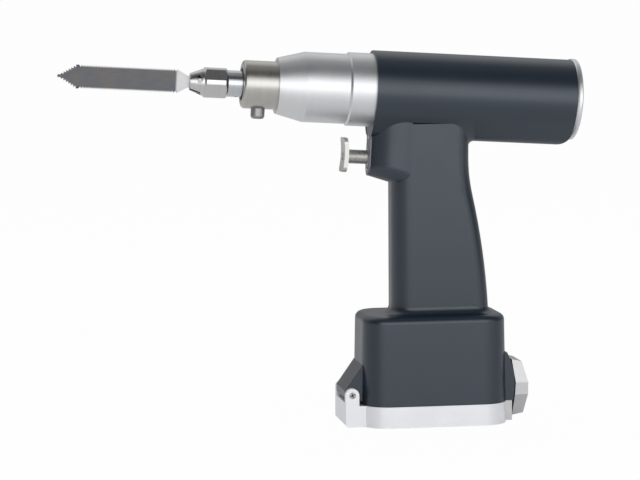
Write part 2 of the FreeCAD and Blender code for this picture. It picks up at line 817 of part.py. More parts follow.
EAR_SLOT = "(ear_thickness + 2 * knuckle_gap)"
ear_spaces = []
for side, start in (("left", "-ear_face - knuckle_gap"), ("right", WEDGE_HALF)):
    ear_spaces.append(rod("ear_space_" + side, EAR_SPACE, EAR_SLOT, (HINGE_X, start, "hinge_z"), "y"))
    low = ("%s - %s" % (HINGE_X, EAR_SPACE), start, "0")
    ear_spaces.append(block("ear_slot_" + side, low, ("2 * " + EAR_SPACE, EAR_SLOT, "hinge_z")))
pin_holes = [
    rod("hinge_hole", "hinge_pin_radius + running_fit", "4 * ear_face", (HINGE_X, "-2 * ear_face", "hinge_z"), "y"),
    rod("latch_hole", "latch_pin_radius + running_fit", "4 * ear_face", (LATCH_X, "-2 * ear_face", "latch_z"), "y"),
    rod("spring_room", "latch_lug_radius + overcut", "latch_spring_room",
        (LATCH_X, "-latch_spring_room / 2", "latch_z"), "y"),
]
PLATE_HALF = "(plate_width / 2)"
PLATE_CENTRE = "(%s + %s)" % (BOSS_BOTTOM, PLATE_HALF)
PLATE_NECK = "(-plate_top_drop - plate_flare)"
plate_outline = [
    ("-plate_top_width / 2", "-plate_top_drop", "-plate_flare_bend"),
    ("-" + PLATE_HALF, PLATE_NECK),
    ("-" + PLATE_HALF, PLATE_CENTRE, PLATE_HALF),
    ("0", BOSS_BOTTOM, PLATE_HALF),
    (PLATE_HALF, PLATE_CENTRE),
    (PLATE_HALF, PLATE_NECK, "-plate_flare_bend"),
    ("plate_top_width / 2", "-plate_top_drop"),
]
plate_trim = new_body("plate_trim")
extrude(plate_trim, "YZ_Plane", "keel_depth", lift="-boss_front", back=True, points=plate_outline)
on_barrel(plate_trim)
outer_form = combine("Part::MultiFuse", "outer_form",
                     [tube_form, grip_form, boss_form, box_form, wedge_form, latch_boss_form, lug_form])
inner_form = combine("Part::MultiFuse", "inner_form",
                     [bore_turn, bay_form, cavity_form, trigger_space, lead_passage, plate_trim]
                     + ear_spaces + pin_holes)
keep(cut("housing", outer_form, inner_form), "housing")

# Front ring: the motor's front flange, with a spigot each way and the seat of the front bearing
BEARING_FRONT = "(%s + bearing_lip_width - nose_recess_depth)" % RING_FRONT
BEARING_REAR = "(%s + bearing_width)" % BEARING_FRONT
keep(on_barrel(turned("front_ring", [
    (RING_FRONT + " - nose_recess_depth", "bearing_radius - bearing_lip"),
    (RING_FRONT + " - nose_recess_depth", "nose_recess_radius"),
    (RING_FRONT, "nose_recess_radius"),
    (RING_FRONT, "ring_radius - ring_bevel"),
    (RING_FRONT + " + ring_bevel", "ring_radius"),
    ("-tube_front", "ring_radius"),
    ("-tube_front", "tube_bore"),
    ("-tube_front + spigot_length", "tube_bore"),
    ("-tube_front + spigot_length", "tube_bore - spigot_wall"),
    (BEARING_REAR, "tube_bore - spigot_wall"),
    (BEARING_REAR, "bearing_radius"),
    (BEARING_FRONT, "bearing_radius"),
    (BEARING_FRONT, "bearing_radius - bearing_lip"),
])), "front_ring")

# Nose housing: cylinder and cone in one, with a keyway for the head of the follower pin
CHAMBER = "(sleeve_radius + sleeve_chamber_gap)"
nose = turned("nose_housing", [
    (NOSE_FRONT, "collar_spigot_radius"),
    (NOSE_FRONT, "cone_radius"),
    (NOSE_MIDDLE, "nose_radius"),
    (RING_FRONT, "nose_radius"),
    (RING_FRONT, "nose_recess_radius"),
    (RING_FRONT + " - nose_recess_depth", "nose_recess_radius"),
    (RING_FRONT + " - nose_recess_depth", CHAMBER),
    (BUSH_REAR + " + nose_wall", CHAMBER),
    (BUSH_REAR + " + nose_wall", "bush_radius"),
    (BUSH_REAR, "bush_radius"),
    (BUSH_REAR, "collar_spigot_radius"),
])
KEY_HALF = "(follower_head_radius + keyway_side_gap)"
KEY_FRONT = "(-cam_place - follower_head_radius - stroke / 2 - keyway_gap)"
hollow(nose, "XY_Plane", "follower_head_top + keyway_gap - %s + overcut" % CHAMBER,
       lift="follower_head_top + keyway_gap",
       points=[
           (KEY_FRONT, "-" + KEY_HALF),
           (RING_FRONT + " - nose_recess_depth", "-" + KEY_HALF),
           (RING_FRONT + " - nose_recess_depth", KEY_HALF),
           (KEY_FRONT, KEY_HALF),
       ])
keep(on_barrel(nose), "nose_housing")

# Collar: rounded in front, bored for the bush, with the hole of the lock button under it
collar = turned("collar", [
    (COLLAR_FRONT, "bush_radius"),
    (COLLAR_FRONT, "collar_radius - collar_round", "-collar_round"),
    (COLLAR_FRONT + " + collar_round", "collar_radius"),
    (NOSE_FRONT, "collar_radius"),
    (NOSE_FRONT, "collar_spigot_radius"),
    (BUSH_REAR, "collar_spigot_radius"),
    (BUSH_REAR, "bush_radius"),
])
hollow(collar, "XY_Plane", "2 * collar_radius", circles=[("-lock_place", "0", "lock_radius + lock_gap")])
keep(on_barrel(collar), "collar")

# Spindle bush and seal: the bronze guide of the spindle and the lip seal in front of it
bush = turned("spindle_bush", [
    (BUSH_FRONT, "spindle_radius + running_fit"),
    (BUSH_FRONT, "bush_radius"),
    (BUSH_REAR + " + nose_wall", "bush_radius"),
    (BUSH_REAR + " + nose_wall", "spindle_radius + running_fit"),
])
hollow(bush, "XY_Plane", "2 * collar_radius", circles=[("-lock_place", "0", "lock_tip_radius + lock_tip_gap")])
keep(on_barrel(bush), "spindle_bush")
keep(on_barrel(turned("spindle_seal", [
    (COLLAR_FRONT + " + seal_lip_length", "spindle_radius + seal_gap"),
    (COLLAR_FRONT, "spindle_radius + seal_lip_rise"),
    (COLLAR_FRONT, "bush_radius"),
    (BUSH_FRONT, "bush_radius"),
    (BUSH_FRONT, "spindle_radius + seal_gap"),
])), "spindle_seal")

# Spindle: stub for the chuck, neck, and the sleeve that reaches over the cam drum
SLEEVE_REAR = "(sleeve_length - sleeve_front)"
spindle = turned("spindle", [
    (HEX_REAR + " - stub_length", "0"),
    (HEX_REAR + " - stub_length", "stub_radius"),
    (HEX_REAR, "stub_radius"),
    (HEX_REAR, "spindle_radius"),
    ("-sleeve_front", "spindle_radius"),
    ("-sleeve_front", "sleeve_radius - sleeve_bevel"),
    ("-sleeve_front + sleeve_bevel", "sleeve_radius"),
    (SLEEVE_REAR, "sleeve_radius"),
    (SLEEVE_REAR, SLEEVE_BORE),
    ("-sleeve_front + sleeve_floor", SLEEVE_BORE),
    ("-sleeve_front + sleeve_floor", "0"),
])
LOCK_SLOT = "(lock_tip_radius + stroke / 2 + 2 * lock_tip_gap)"
LOCK_HALF = "(lock_tip_radius + lock_tip_gap)"
hollow(spindle, "XY_Plane", "spindle_radius", lift="lock_slot_floor - lock_tip_end + lock_travel", points=[
    ("-lock_place - " + LOCK_SLOT, "-" + LOCK_HALF),
    ("-lock_place + " + LOCK_SLOT, "-" + LOCK_HALF),
    ("-lock_place + " + LOCK_SLOT, LOCK_HALF),
    ("-lock_place - " + LOCK_SLOT, LOCK_HALF),
])
hollow(spindle, "XY_Plane", "spindle_radius + overcut", roll="neck_hole_turn",
       circles=[(HEX_REAR + " + neck_hole_place", "0", "neck_hole_radius")])
hollow(spindle, "XY_Plane", "sleeve_radius", circles=[("-cam_place", "0", "follower_radius")], back=True)
hollow(spindle, "XY_Plane", "sleeve_radius", lift="follower_seat", back=True,
       circles=[("-cam_place", "0", "follower_head_radius + running_fit")])
keep(on_barrel(spindle), "spindle")

# Follower pin and roller: they ride in the drum's groove, and the pin's head in the nose's keyway
ROLLER_LOW = "(drum_radius - groove_depth + roller_floor_gap)"
ROLLER_TOP = "(%s + roller_height)" % ROLLER_LOW


def upright(name, points):
    """A piece turned about the barrel frame's Z axis, at the follower's place."""
    body = new_body(name)
    sketch = sketch_on(body, "XZ_Plane", points)
    feature = body.newObject("PartDesign::Revolution", name + "_turned")
    feature.Profile = sketch
    feature.ReferenceAxis = (sketch, ["V_Axis"])
    feature.Angle = 360
    return body


def at_barrel_place(body, x):
    """Moves an upright piece along the barrel's axis and places it with the barrel."""
    body.Placement = Placement(Vector(), Rotation(Vector(0, 1, 0), size("barrel_tilt")))
    bind(body, Placement__Base__x="%s * cos(barrel_tilt)" % x,
         Placement__Base__z="barrel_height - %s * sin(barrel_tilt)" % x,
         Placement__Rotation__Angle="barrel_tilt")
    return body


keep(at_barrel_place(upright("follower_pin", [
    ("0", ROLLER_LOW + " - follower_tip_proud"),
    ("follower_tip_radius", ROLLER_LOW + " - follower_tip_proud"),
    ("follower_tip_radius", ROLLER_TOP),
    ("follower_radius", ROLLER_TOP),
    ("follower_radius", "follower_seat"),
    ("follower_head_radius", "follower_seat"),
    ("follower_head_radius", "follower_head_top"),
    ("0", "follower_head_top"),
]), "(-cam_place)"), "follower_pin")
keep(at_barrel_place(upright("follower_roller", [
    ("follower_tip_radius", ROLLER_LOW),
    ("roller_radius", ROLLER_LOW),
    ("roller_radius", ROLLER_TOP),
    ("follower_tip_radius", ROLLER_TOP),
]), "(-cam_place)"), "follower_roller")

# Cam drum: its tilted groove moves the follower to and fro by the stroke in half a turn
DRUM_FRONT = "(-sleeve_front + sleeve_floor + drum_front_gap)"
drum = turned("cam_drum", [
    (DRUM_FRONT, "shaft_radius"),
    (DRUM_FRONT, "drum_radius"),
    (DRUM_FRONT + " + drum_length", "drum_radius"),
    (DRUM_FRONT + " + drum_length", "shaft_radius"),
])
GROOVE_TILT = "atan(stroke / 2 / (%s + roller_height / 2))" % ROLLER_LOW
GROOVE_HALF = "(roller_radius + groove_side_gap)"
document.recompute()
drum_volume = drum.Shape.Volume
groove_sketch = sketch_on(drum, "XY_Plane", turn=("-cam_place", GROOVE_TILT), points=[
    ("-" + GROOVE_HALF, "drum_radius - groove_depth"),
    (GROOVE_HALF, "drum_radius - groove_depth"),
    (GROOVE_HALF, "drum_radius + overcut"),
    ("-" + GROOVE_HALF, "drum_radius + overcut"),
])
groove = drum.newObject("PartDesign::Groove", "cam_groove")
groove.Profile = groove_sketch
groove.ReferenceAxis = (groove_sketch, ["H_Axis"])
groove.Angle = 360
document.recompute()
if drum.Shape.Volume >= drum_volume:
    raise RuntimeError("the cam groove cuts nothing")
keep(on_barrel(drum), "cam_drum")

# Rotor: shaft and magnet
keep(on_barrel(turned("rotor_shaft", [
    (DRUM_FRONT, "0"),
    (DRUM_FRONT, "shaft_radius - shaft_bevel"),
    (DRUM_FRONT + " + shaft_bevel", "shaft_radius"),
    ("shaft_rear - shaft_bevel", "shaft_radius"),
    ("shaft_rear", "shaft_radius - shaft_bevel"),
    ("shaft_rear", "0"),
])), "rotor_shaft")
MAGNET_FRONT = "(magnet_inset - stator_front)"
MAGNET_REAR = "(stator_length - stator_front - magnet_inset)"
MAGNET_RADIUS = "(stator_bore - air_gap)"
keep(on_barrel(turned("rotor_magnet", [
    (MAGNET_FRONT, "shaft_radius"),
    (MAGNET_FRONT, MAGNET_RADIUS + " - magnet_bevel"),
    (MAGNET_FRONT + " + magnet_bevel", MAGNET_RADIUS),
    (MAGNET_REAR + " - magnet_bevel", MAGNET_RADIUS),
    (MAGNET_REAR, MAGNET_RADIUS + " - magnet_bevel"),
    (MAGNET_REAR, "shaft_radius"),
])), "rotor_magnet")


# Bearings: two rings with recessed shields
def bearing(name, front):
    rear = "(%s + bearing_width)" % front
    shaft_side = "(shaft_radius + running_fit)"
    inner, outer = shaft_side + " + bearing_race", "bearing_radius - bearing_race"
    front_shield, rear_shield = front + " + bearing_shield_depth", rear + " - bearing_shield_depth"
    return on_barrel(turned(name, [
        (front, shaft_side),
        (front, inner),
        (front_shield, inner),
        (front_shield, outer),
        (front, outer),
        (front, "bearing_radius"),
        (rear, "bearing_radius"),
        (rear, outer),
        (rear_shield, outer),
        (rear_shield, inner),
        (rear, inner),
        (rear, shaft_side),
    ]))


HUB_FRONT = "(tube_rear - hub_length)"
keep(bearing("front_bearing", BEARING_FRONT), "front_bearing")
keep(bearing("rear_bearing", HUB_FRONT), "rear_bearing")

# Motor: laminated core and the end turns of its windings
STATOR_REAR = "(stator_length - stator_front)"
keep(on_barrel(turned("stator_core", [
    ("-stator_front", "stator_bore"),
    ("-stator_front", "tube_bore"),
    (STATOR_REAR, "tube_bore"),
    (STATOR_REAR, "stator_bore"),
])), "stator_core")


def end_turns(name, near_end, far_end):
    """One ring of end turns, rounded on the side away from the core."""
    inward = "winding_round" if size(far_end) > size(near_end) else "-winding_round"
    return turned(name, [
        (near_end, "winding_inner"),
        (near_end, "winding_outer"),
        ("%s - %s" % (far_end, inward), "winding_outer"),
        (far_end, "winding_outer - winding_round"),
        (far_end, "winding_inner + winding_round"),
        ("%s - %s" % (far_end, inward), "winding_inner"),
    ])


keep(on_barrel(combine("Part::Compound", "motor_windings", [
    end_turns("front_turns", "(-stator_front)", "(-stator_front - winding_length)"),
    end_turns("rear_turns", STATOR_REAR, "(stator_length - stator_front + winding_length)"),
])), "motor_windings")

# Rear cap: shallow dome, spigot with an O-ring, and the hub of the rear bearing
CAP_INSIDE = "(tube_rear - cap_floor)"
DOME_END = "(tube_rear + cap_dome)"
DOME_EDGE = "(cap_radius - cap_rim_bevel)"
DOME_RISE = "(cap_dome - cap_rim)"
DOME_RADIUS = "(%s ^ 2 + %s ^ 2) / (2 * %s)" % (DOME_EDGE, DOME_RISE, DOME_RISE)
RING_MIDDLE = "(tube_bore - seal_ring_wire - seal_ring_gap)"
RING_HALF = "(seal_ring_wire + seal_ring_gap)"
RING_GROOVE = "(%s - %s)" % (RING_MIDDLE, RING_HALF)
RING_PLACE = "(tube_rear - seal_ring_place)"
keep(on_barrel(turned("rear_cap", [
    (DOME_END, "0", DOME_RADIUS),
    ("tube_rear + cap_rim", DOME_EDGE),
    ("tube_rear + cap_rim - cap_rim_bevel", "cap_radius"),
    ("tube_rear", "cap_radius"),
    ("tube_rear", "tube_bore"),
    ("%s + %s" % (RING_PLACE, RING_HALF), "tube_bore"),
    ("%s + %s" % (RING_PLACE, RING_HALF), RING_GROOVE),
    ("%s - %s" % (RING_PLACE, RING_HALF), RING_GROOVE),
    ("%s - %s" % (RING_PLACE, RING_HALF), "tube_bore"),
    ("tube_rear - cap_spigot_length", "tube_bore"),
    ("tube_rear - cap_spigot_length", "tube_bore - cap_wall"),
    (CAP_INSIDE, "tube_bore - cap_wall"),
    (CAP_INSIDE, "hub_radius"),
    (HUB_FRONT, "hub_radius"),
    (HUB_FRONT, "bearing_radius"),
    (HUB_FRONT + " + bearing_width", "bearing_radius"),
    (HUB_FRONT + " + bearing_width", "bearing_radius - bearing_lip"),
    (CAP_INSIDE, "bearing_radius - bearing_lip"),
    (CAP_INSIDE, "0"),
])), "rear_cap")
seal_ring = document.addObject("Part::Torus", "rear_cap_seal")
bind(seal_ring, Radius1=RING_MIDDLE, Radius2="seal_ring_wire")
seal_ring.Placement = Placement(Vector(), Rotation(Vector(0, 1, 0), 90 + size("barrel_tilt")))
bind(seal_ring, Placement__Base__x=RING_PLACE + " * cos(barrel_tilt)",
     Placement__Base__z="barrel_height - %s * sin(barrel_tilt)" % RING_PLACE,
     Placement__Rotation__Angle="90 + barrel_tilt")
keep(seal_ring, "rear_cap_seal")

# Chuck: slotted cone and hexagon in one, bored for the spindle's stub and the blade's tang
chuck = turned("turned_chuck", [
    (CHUCK_FRONT, "0"),
    (CHUCK_FRONT, "chuck_cone_front"),
    (HEX_FRONT, "chuck_cone_rear"),
    (HEX_FRONT, "hex_turned_radius - hex_bevel"),
    (HEX_FRONT + " + hex_bevel", "hex_turned_radius"),
    (HEX_REAR + " - hex_rear_bevel", "hex_turned_radius"),
    (HEX_REAR, "hex_turned_radius - hex_rear_bevel"),
    (HEX_REAR, "stub_radius + running_fit"),
    (HEX_REAR + " - stub_length - stub_end_gap", "stub_radius + running_fit"),
    (HEX_REAR + " - stub_length - stub_end_gap", "0"),
])
SLIT_END = "(%s + chuck_slit_depth)" % CHUCK_FRONT
for role in ("XY_Plane", "XZ_Plane"):
    hollow(chuck, role, "4 * chuck_cone_rear", middle=True, roll="slot_twist", points=[
        (CHUCK_FRONT + " - overcut", "-chuck_slit / 2"),
        (SLIT_END, "-chuck_slit / 2"),
        (SLIT_END, "chuck_slit / 2"),
        (CHUCK_FRONT + " - overcut", "chuck_slit / 2"),
    ])
    for roll, radius in (("slot_twist", "chuck_slit / 2"), ("slot_twist / 2", "chuck_slit / 2"),
                         ("0", "chuck_hole_radius")):
        hollow(chuck, role, "4 * chuck_cone_rear", middle=True, roll=roll, circles=[(SLIT_END, "0", radius)])
TANG_END = "(%s + tang_depth)" % CHUCK_FRONT
hollow(chuck, "XZ_Plane", "blade_thickness + 2 * tang_gap", middle=True, points=[
    (CHUCK_FRONT + " - overcut", "-shank_width / 2 - tang_gap"),
    (TANG_END, "-shank_width / 2 - tang_gap"),
    (TANG_END, "shank_width / 2 + tang_gap"),
    (CHUCK_FRONT + " - overcut", "shank_width / 2 + tang_gap"),
])
spanner_form = document.addObject("Part::Prism", "spanner_form")
spanner_form.Polygon = 6
bind(spanner_form, Circumradius="hex_flats / sqrt(3)", Height="%s - %s + 2 * overcut" % (HEX_REAR, CHUCK_FRONT))
spanner_turn = combine("Part::Compound", "spanner_turn", [spanner_form])
spanner_turn.Placement = Placement(Vector(), Rotation(Vector(0, 0, 1), size("30 + hex_offset")))
bind(spanner_turn, Placement__Rotation__Angle="30 + hex_offset")
spanner_line = combine("Part::Compound", "spanner_line", [spanner_turn])
spanner_line.Placement = Placement(Vector(), Rotation(Vector(0, 1, 0), 90))
bind(spanner_line, Placement__Base__x=CHUCK_FRONT + " - overcut")


def with_chuck(name, item):
    """Turns a piece round the barrel's axis with the chuck, as it stands at rest, and places it."""
    turned_item = combine("Part::Compound", name + "_turn", [item])
    turned_item.Placement = Placement(Vector(), Rotation(Vector(-1, 0, 0), size("chuck_rest_turn")))
    bind(turned_item, Placement__Rotation__Angle="chuck_rest_turn")
    return on_barrel(combine("Part::Compound", name + "_placed", [turned_item]))


keep(with_chuck("chuck", common("chuck_form", chuck, spanner_line)), "chuck")

# Blade: a pointed strip with a shoulder and a tang, its teeth cut in rows along both edges
blade = new_body("blade_blank")
BLADE_TIP = "(%s - blade_length)" % BLADE_REAR
TIP_REAR = "(%s + blade_tip_length)" % BLADE_TIP
extrude(blade, "XZ_Plane", "blade_thickness", middle=True, points=[
    (BLADE_TIP, "-blade_tip_half"),
    (TIP_REAR, "-blade_width / 2"),
    (BLADE_REAR, "-blade_width / 2"),
    (BLADE_REAR + " + shoulder_length", "-shank_width / 2"),
    (TANG_END + " - tang_end_gap", "-shank_width / 2"),
    (TANG_END + " - tang_end_gap", "shank_width / 2"),
    (BLADE_REAR + " + shoulder_length", "shank_width / 2"),
    (BLADE_REAR, "blade_width / 2"),
    (TIP_REAR, "blade_width / 2"),
    (BLADE_TIP, "blade_tip_half"),
])
hollow(blade, "XZ_Plane", "2 * blade_thickness", middle=True,
       circles=[(SLIT_END, "0", "cross_pin_radius")])
ROW_COUNT = "floor((blade_length - blade_tip_length) / tooth_pitch)"
first_gap = hollow(blade, "XZ_Plane", "2 * blade_thickness", middle=True, points=[
    (BLADE_REAR + " - tooth_pitch", "blade_width / 2"),
    (BLADE_REAR + " - tooth_pitch / 2", "blade_width / 2 - tooth_depth"),
    (BLADE_REAR, "blade_width / 2"),
    (BLADE_REAR, "blade_width / 2 + overcut"),
    (BLADE_REAR + " - tooth_pitch", "blade_width / 2 + overcut"),
])
gap_row = blade.newObject("PartDesign::LinearPattern", "gap_row")
gap_row.Originals = [first_gap]
gap_row.Direction = (first_gap.Profile[0], ["H_Axis"])
gap_row.Reversed = True
gap_row.Mode = "Spacing"
bind(gap_row, Offset="tooth_pitch", Occurrences=ROW_COUNT)
blade.Tip = gap_row
document.recompute()
TIP_RISE = "(blade_width / 2 - blade_tip_half)"
TIP_SLOPE = "sqrt(blade_tip_length ^ 2 + %s ^ 2)" % TIP_RISE
TIP_COS = "(blade_tip_length / %s)" % TIP_SLOPE
TIP_SIN = "(%s / %s)" % (TIP_RISE, TIP_SLOPE)


def on_slope(along, down):
    """A point of the tip's sloping edge, so far from its rear end and so far under the edge."""
    return ("%s - (%s) * %s + (%s) * %s" % (TIP_REAR, along, TIP_COS, down, TIP_SIN),
            "blade_width / 2 - (%s) * %s - (%s) * %s" % (along, TIP_SIN, down, TIP_COS))


tip_gaps = int(size("floor(%s / tooth_pitch)" % TIP_SLOPE))
for number in range(tip_gaps):
    depth = "tooth_depth" if number < tip_gaps - 1 else "tip_tooth_depth"
    hollow(blade, "XZ_Plane", "2 * blade_thickness", middle=True, points=[
        on_slope("%d * tooth_pitch" % number, "0"),
        on_slope("%.1f * tooth_pitch" % (number + 0.5), depth),
        on_slope("%d * tooth_pitch" % (number + 1), "0"),
        on_slope("%d * tooth_pitch" % (number + 1), "-overcut"),
        on_slope("%d * tooth_pitch" % number, "-overcut"),
    ])
upper_space = block("upper_space", (BLADE_TIP + " - overcut", "-blade_thickness", "0"),
                    ("blade_length + shank_out + tang_depth + 2 * overcut", "2 * blade_thickness", "blade_width"))
half_blade = common("half_blade", blade, upper_space)
lower_blade = document.addObject("Part::Mirroring", "lower_blade")
lower_blade.Source = half_blade
lower_blade.Normal = Vector(0, 0, 1)
whole_blade = combine("Part::MultiFuse", "whole_blade", [half_blade, lower_blade])
whole_blade.Refine = True
keep(with_chuck("blade", whole_blade), "blade")
PIN_HALF = "(chuck_cone_rear - cross_pin_inset)"
blade_pin = rod("pin_rod", "cross_pin_radius", "2 * " + PIN_HALF, (SLIT_END, "-" + PIN_HALF, "0"), "y")
keep(with_chuck("blade_pin", blade_pin), "blade_pin")

# Lock button: pushed up into the collar it enters the spindle's slot; a small spring returns it
keep(at_barrel_place(upright("lock_button", [
    ("0", "-lock_top"),
    ("lock_radius - lock_round", "-lock_top", "lock_round"),
    ("lock_radius", "lock_round - lock_top"),
    ("lock_radius", "-lock_shoulder"),
    ("lock_tip_radius", "-lock_shoulder"),
    ("lock_tip_radius", "-lock_tip_end"),
    ("0", "-lock_tip_end"),
]), "(-lock_place)"), "lock_button")
lock_spring = spring("lock_spring", "lock_tip_radius + lock_spring_gap + lock_spring_wire", "lock_spring_wire",
                     "lock_shoulder - bush_radius - seat_gap", 3)
LOCK_SPRING_FOOT = "(lock_shoulder - seat_gap / 2)"
lock_spring.Placement = Placement(Vector(), Rotation(Vector(0, 1, 0), size("barrel_tilt")))
bind(lock_spring, Placement__Rotation__Angle="barrel_tilt",
     Placement__Base__x="-lock_place * cos(barrel_tilt) - %s * sin(barrel_tilt)" % LOCK_SPRING_FOOT,
     Placement__Base__z="barrel_height + lock_place * sin(barrel_tilt) - %s * cos(barrel_tilt)" % LOCK_SPRING_FOOT)
keep(lock_spring, "lock_spring")

# Trigger plate with its two screws, and the guide of the stem
trigger_plate = new_body("trigger_plate")
extrude(trigger_plate, "YZ_Plane", "plate_thickness", lift=PLATE_FRONT, points=plate_outline,
        circles=[("0", "-trigger_drop", "guide_radius"), ("0", SCREW_LOW, "screw_radius"),
                 ("0", SCREW_HIGH, "screw_radius")])
keep(on_barrel(trigger_plate), "trigger_plate")


def plate_screw(name, height):
    screw = turned(name, [
        (PLATE_FRONT + " - screw_head_height", "0"),
        (PLATE_FRONT + " - screw_head_height", "screw_head_radius - screw_head_bevel"),
        (PLATE_FRONT + " - screw_head_height + screw_head_bevel", "screw_head_radius"),
        (PLATE_FRONT, "screw_head_radius"),
        (PLATE_FRONT, "screw_radius"),
        ("screw_length - boss_front - screw_end_gap", "screw_radius"),
        ("screw_length - boss_front - screw_end_gap", "0"),
    ])
    bind(screw, Placement__Base__z=height)
    return screw


keep(on_barrel(combine("Part::Compound", "plate_screws", [
    plate_screw("screw_low", SCREW_LOW),
    plate_screw("screw_high", SCREW_HIGH),
])), "plate_screws")


def keep_on_trigger(body, label):
    """Places a piece that was drawn on the trigger's axis, under the barrel and along it."""
    return keep(on_barrel(body, "trigger_drop"), label)


keep_on_trigger(turned("trigger_guide", [
    (PLATE_FRONT + " - guide_proud", "stem_radius + running_fit"),
    (PLATE_FRONT + " - guide_proud", "guide_radius - guide_bevel"),
    (PLATE_FRONT + " - guide_proud + guide_bevel", "guide_radius"),
    ("-guide_rear", "guide_radius"),
    ("-guide_rear", "stem_radius + running_fit"),
]), "trigger_guide")

# Trigger: finger pad on a stem, with a stop ring, a magnet and a return spring
CLIP_FRONT = "(clip_gap - guide_rear)"
keep_on_trigger(turned("trigger_stem", [
    ("stem_tenon_gap - stem_front - pad_thickness", "0"),
    ("stem_tenon_gap - stem_front - pad_thickness", "stem_tenon_radius"),
    ("-stem_front", "stem_tenon_radius"),
    ("-stem_front", "stem_radius"),
    (CLIP_FRONT, "stem_radius"),
    (CLIP_FRONT, "clip_groove_radius"),
    (CLIP_FRONT + " + clip_thickness", "clip_groove_radius"),
    (CLIP_FRONT + " + clip_thickness", "stem_radius"),
    ("-stem_rear", "stem_radius"),
    ("-stem_rear", "trigger_magnet_radius"),
    ("-stem_rear - trigger_magnet_length", "trigger_magnet_radius"),
    ("-stem_rear - trigger_magnet_length", "0"),
]), "trigger_stem")
keep_on_trigger(turned("trigger_magnet", [
    ("-stem_rear - trigger_magnet_length", "0"),
    ("-stem_rear - trigger_magnet_length", "trigger_magnet_radius"),
    ("-stem_rear", "trigger_magnet_radius"),
    ("-stem_rear", "0"),
]), "trigger_magnet")
keep_on_trigger(turned("trigger_clip", [
    (CLIP_FRONT, "clip_groove_radius"),
    (CLIP_FRONT, "clip_radius"),
    (CLIP_FRONT + " + clip_thickness", "clip_radius"),
    (CLIP_FRONT + " + clip_thickness", "clip_groove_radius"),
]), "trigger_clip")
finger_pad = new_body("trigger_pad")
PAD_CURVE = "((pad_height ^ 2 / 4 + pad_hollow ^ 2) / (2 * pad_hollow))"
PAD_TIP = "(-stem_front - pad_hollow)"
PAD_LOW = "(pad_rise - pad_height / 2)"
PAD_HIGH = "(pad_rise + pad_height / 2)"
extrude(finger_pad, "XZ_Plane", "pad_width", middle=True, points=[
    (PAD_TIP, PAD_LOW, PAD_CURVE),
    (PAD_TIP, PAD_HIGH),
    (PAD_TIP + " - pad_thickness", PAD_HIGH, "-" + PAD_CURVE),
    (PAD_TIP + " - pad_thickness", PAD_LOW),
])
hollow(finger_pad, "YZ_Plane", "4 * pad_thickness", lift="2 * pad_thickness - stem_front",
       circles=[("0", "0", "stem_tenon_radius")])
pad_half = size("pad_width") / 2


def pad_corner_edge(edge):
    middle = edge.valueAt((edge.FirstParameter + edge.LastParameter) / 2)
    return near(abs(middle.y), pad_half) and edge.BoundBox.ZLength < edge.BoundBox.XLength / 2


rounded(finger_pad, "pad_corner", pad_corner_edge)
keep_on_trigger(finger_pad, "trigger_pad")
SPRING_FRONT = "(%s + clip_thickness + seat_gap)" % CLIP_FRONT
trigger_spring = spring("trigger_spring", "trigger_spring_radius", "trigger_spring_wire",
                        "(%s - %s - seat_gap)" % (SENSOR_FRONT, SPRING_FRONT), 6)
trigger_spring.Placement = Placement(Vector(), Rotation(Vector(0, 1, 0), 90 + size("barrel_tilt")))
bind(trigger_spring, Placement__Rotation__Angle="90 + barrel_tilt",
     Placement__Base__x="%s * cos(barrel_tilt) - trigger_drop * sin(barrel_tilt)" % SPRING_FRONT,
     Placement__Base__z="%s - %s * sin(barrel_tilt)" % (TRIGGER_HEIGHT, SPRING_FRONT))
keep(trigger_spring, "trigger_spring")
keep_on_trigger(turned("sensor_board", [
    (SENSOR_FRONT, "0"),
    (SENSOR_FRONT, "trigger_bore"),
    (SENSOR_REAR, "trigger_bore"),
    (SENSOR_REAR, "0"),
]), "sensor_board")

# Control board with its parts and the three motor leads
keep(block("control_board", (CAVITY_FRONT + " + board_end_gap", "board_side", "board_bottom"),
           ("control_board_width", "board_thickness", "board_top - board_bottom")),
     "control_board")
board_items = []
for number in range(3):
    low = ("switch_pitch * %d - switch_front" % number, "board_side - switch_depth", "board_top - switch_drop")
    board_items.append(block("power_switch_%d" % number, low, ("switch_length", "switch_depth", "switch_height")))
for number in range(2):
    place = ("storage_pitch * (%d - 1 / 2)" % number, "board_side - storage_length", "board_bottom + storage_rise")
    board_items.append(rod("storage_%d" % number, "storage_radius", "storage_length", place, "y"))
board_items.append(block("controller_chip", ("-chip_front", "board_side - chip_thickness", "board_bottom + chip_rise"),
                         ("chip_size", "chip_thickness", "chip_size")))
keep(combine("Part::Compound", "board_parts", board_items), "board_parts")
lead_items = []
for number in range(3):
    x = "(lead_front + lead_pitch * %d)" % number
    stator_bottom = "barrel_height - %s * tan(barrel_tilt) - tube_bore / cos(barrel_tilt)" % x
    lead_items.append(rod("lead_%d" % number, "lead_radius", stator_bottom + " - board_top",
                          (x, "board_side + board_thickness / 2", "board_top"), "z"))
keep(combine("Part::Compound", "motor_leads", lead_items), "motor_leads")

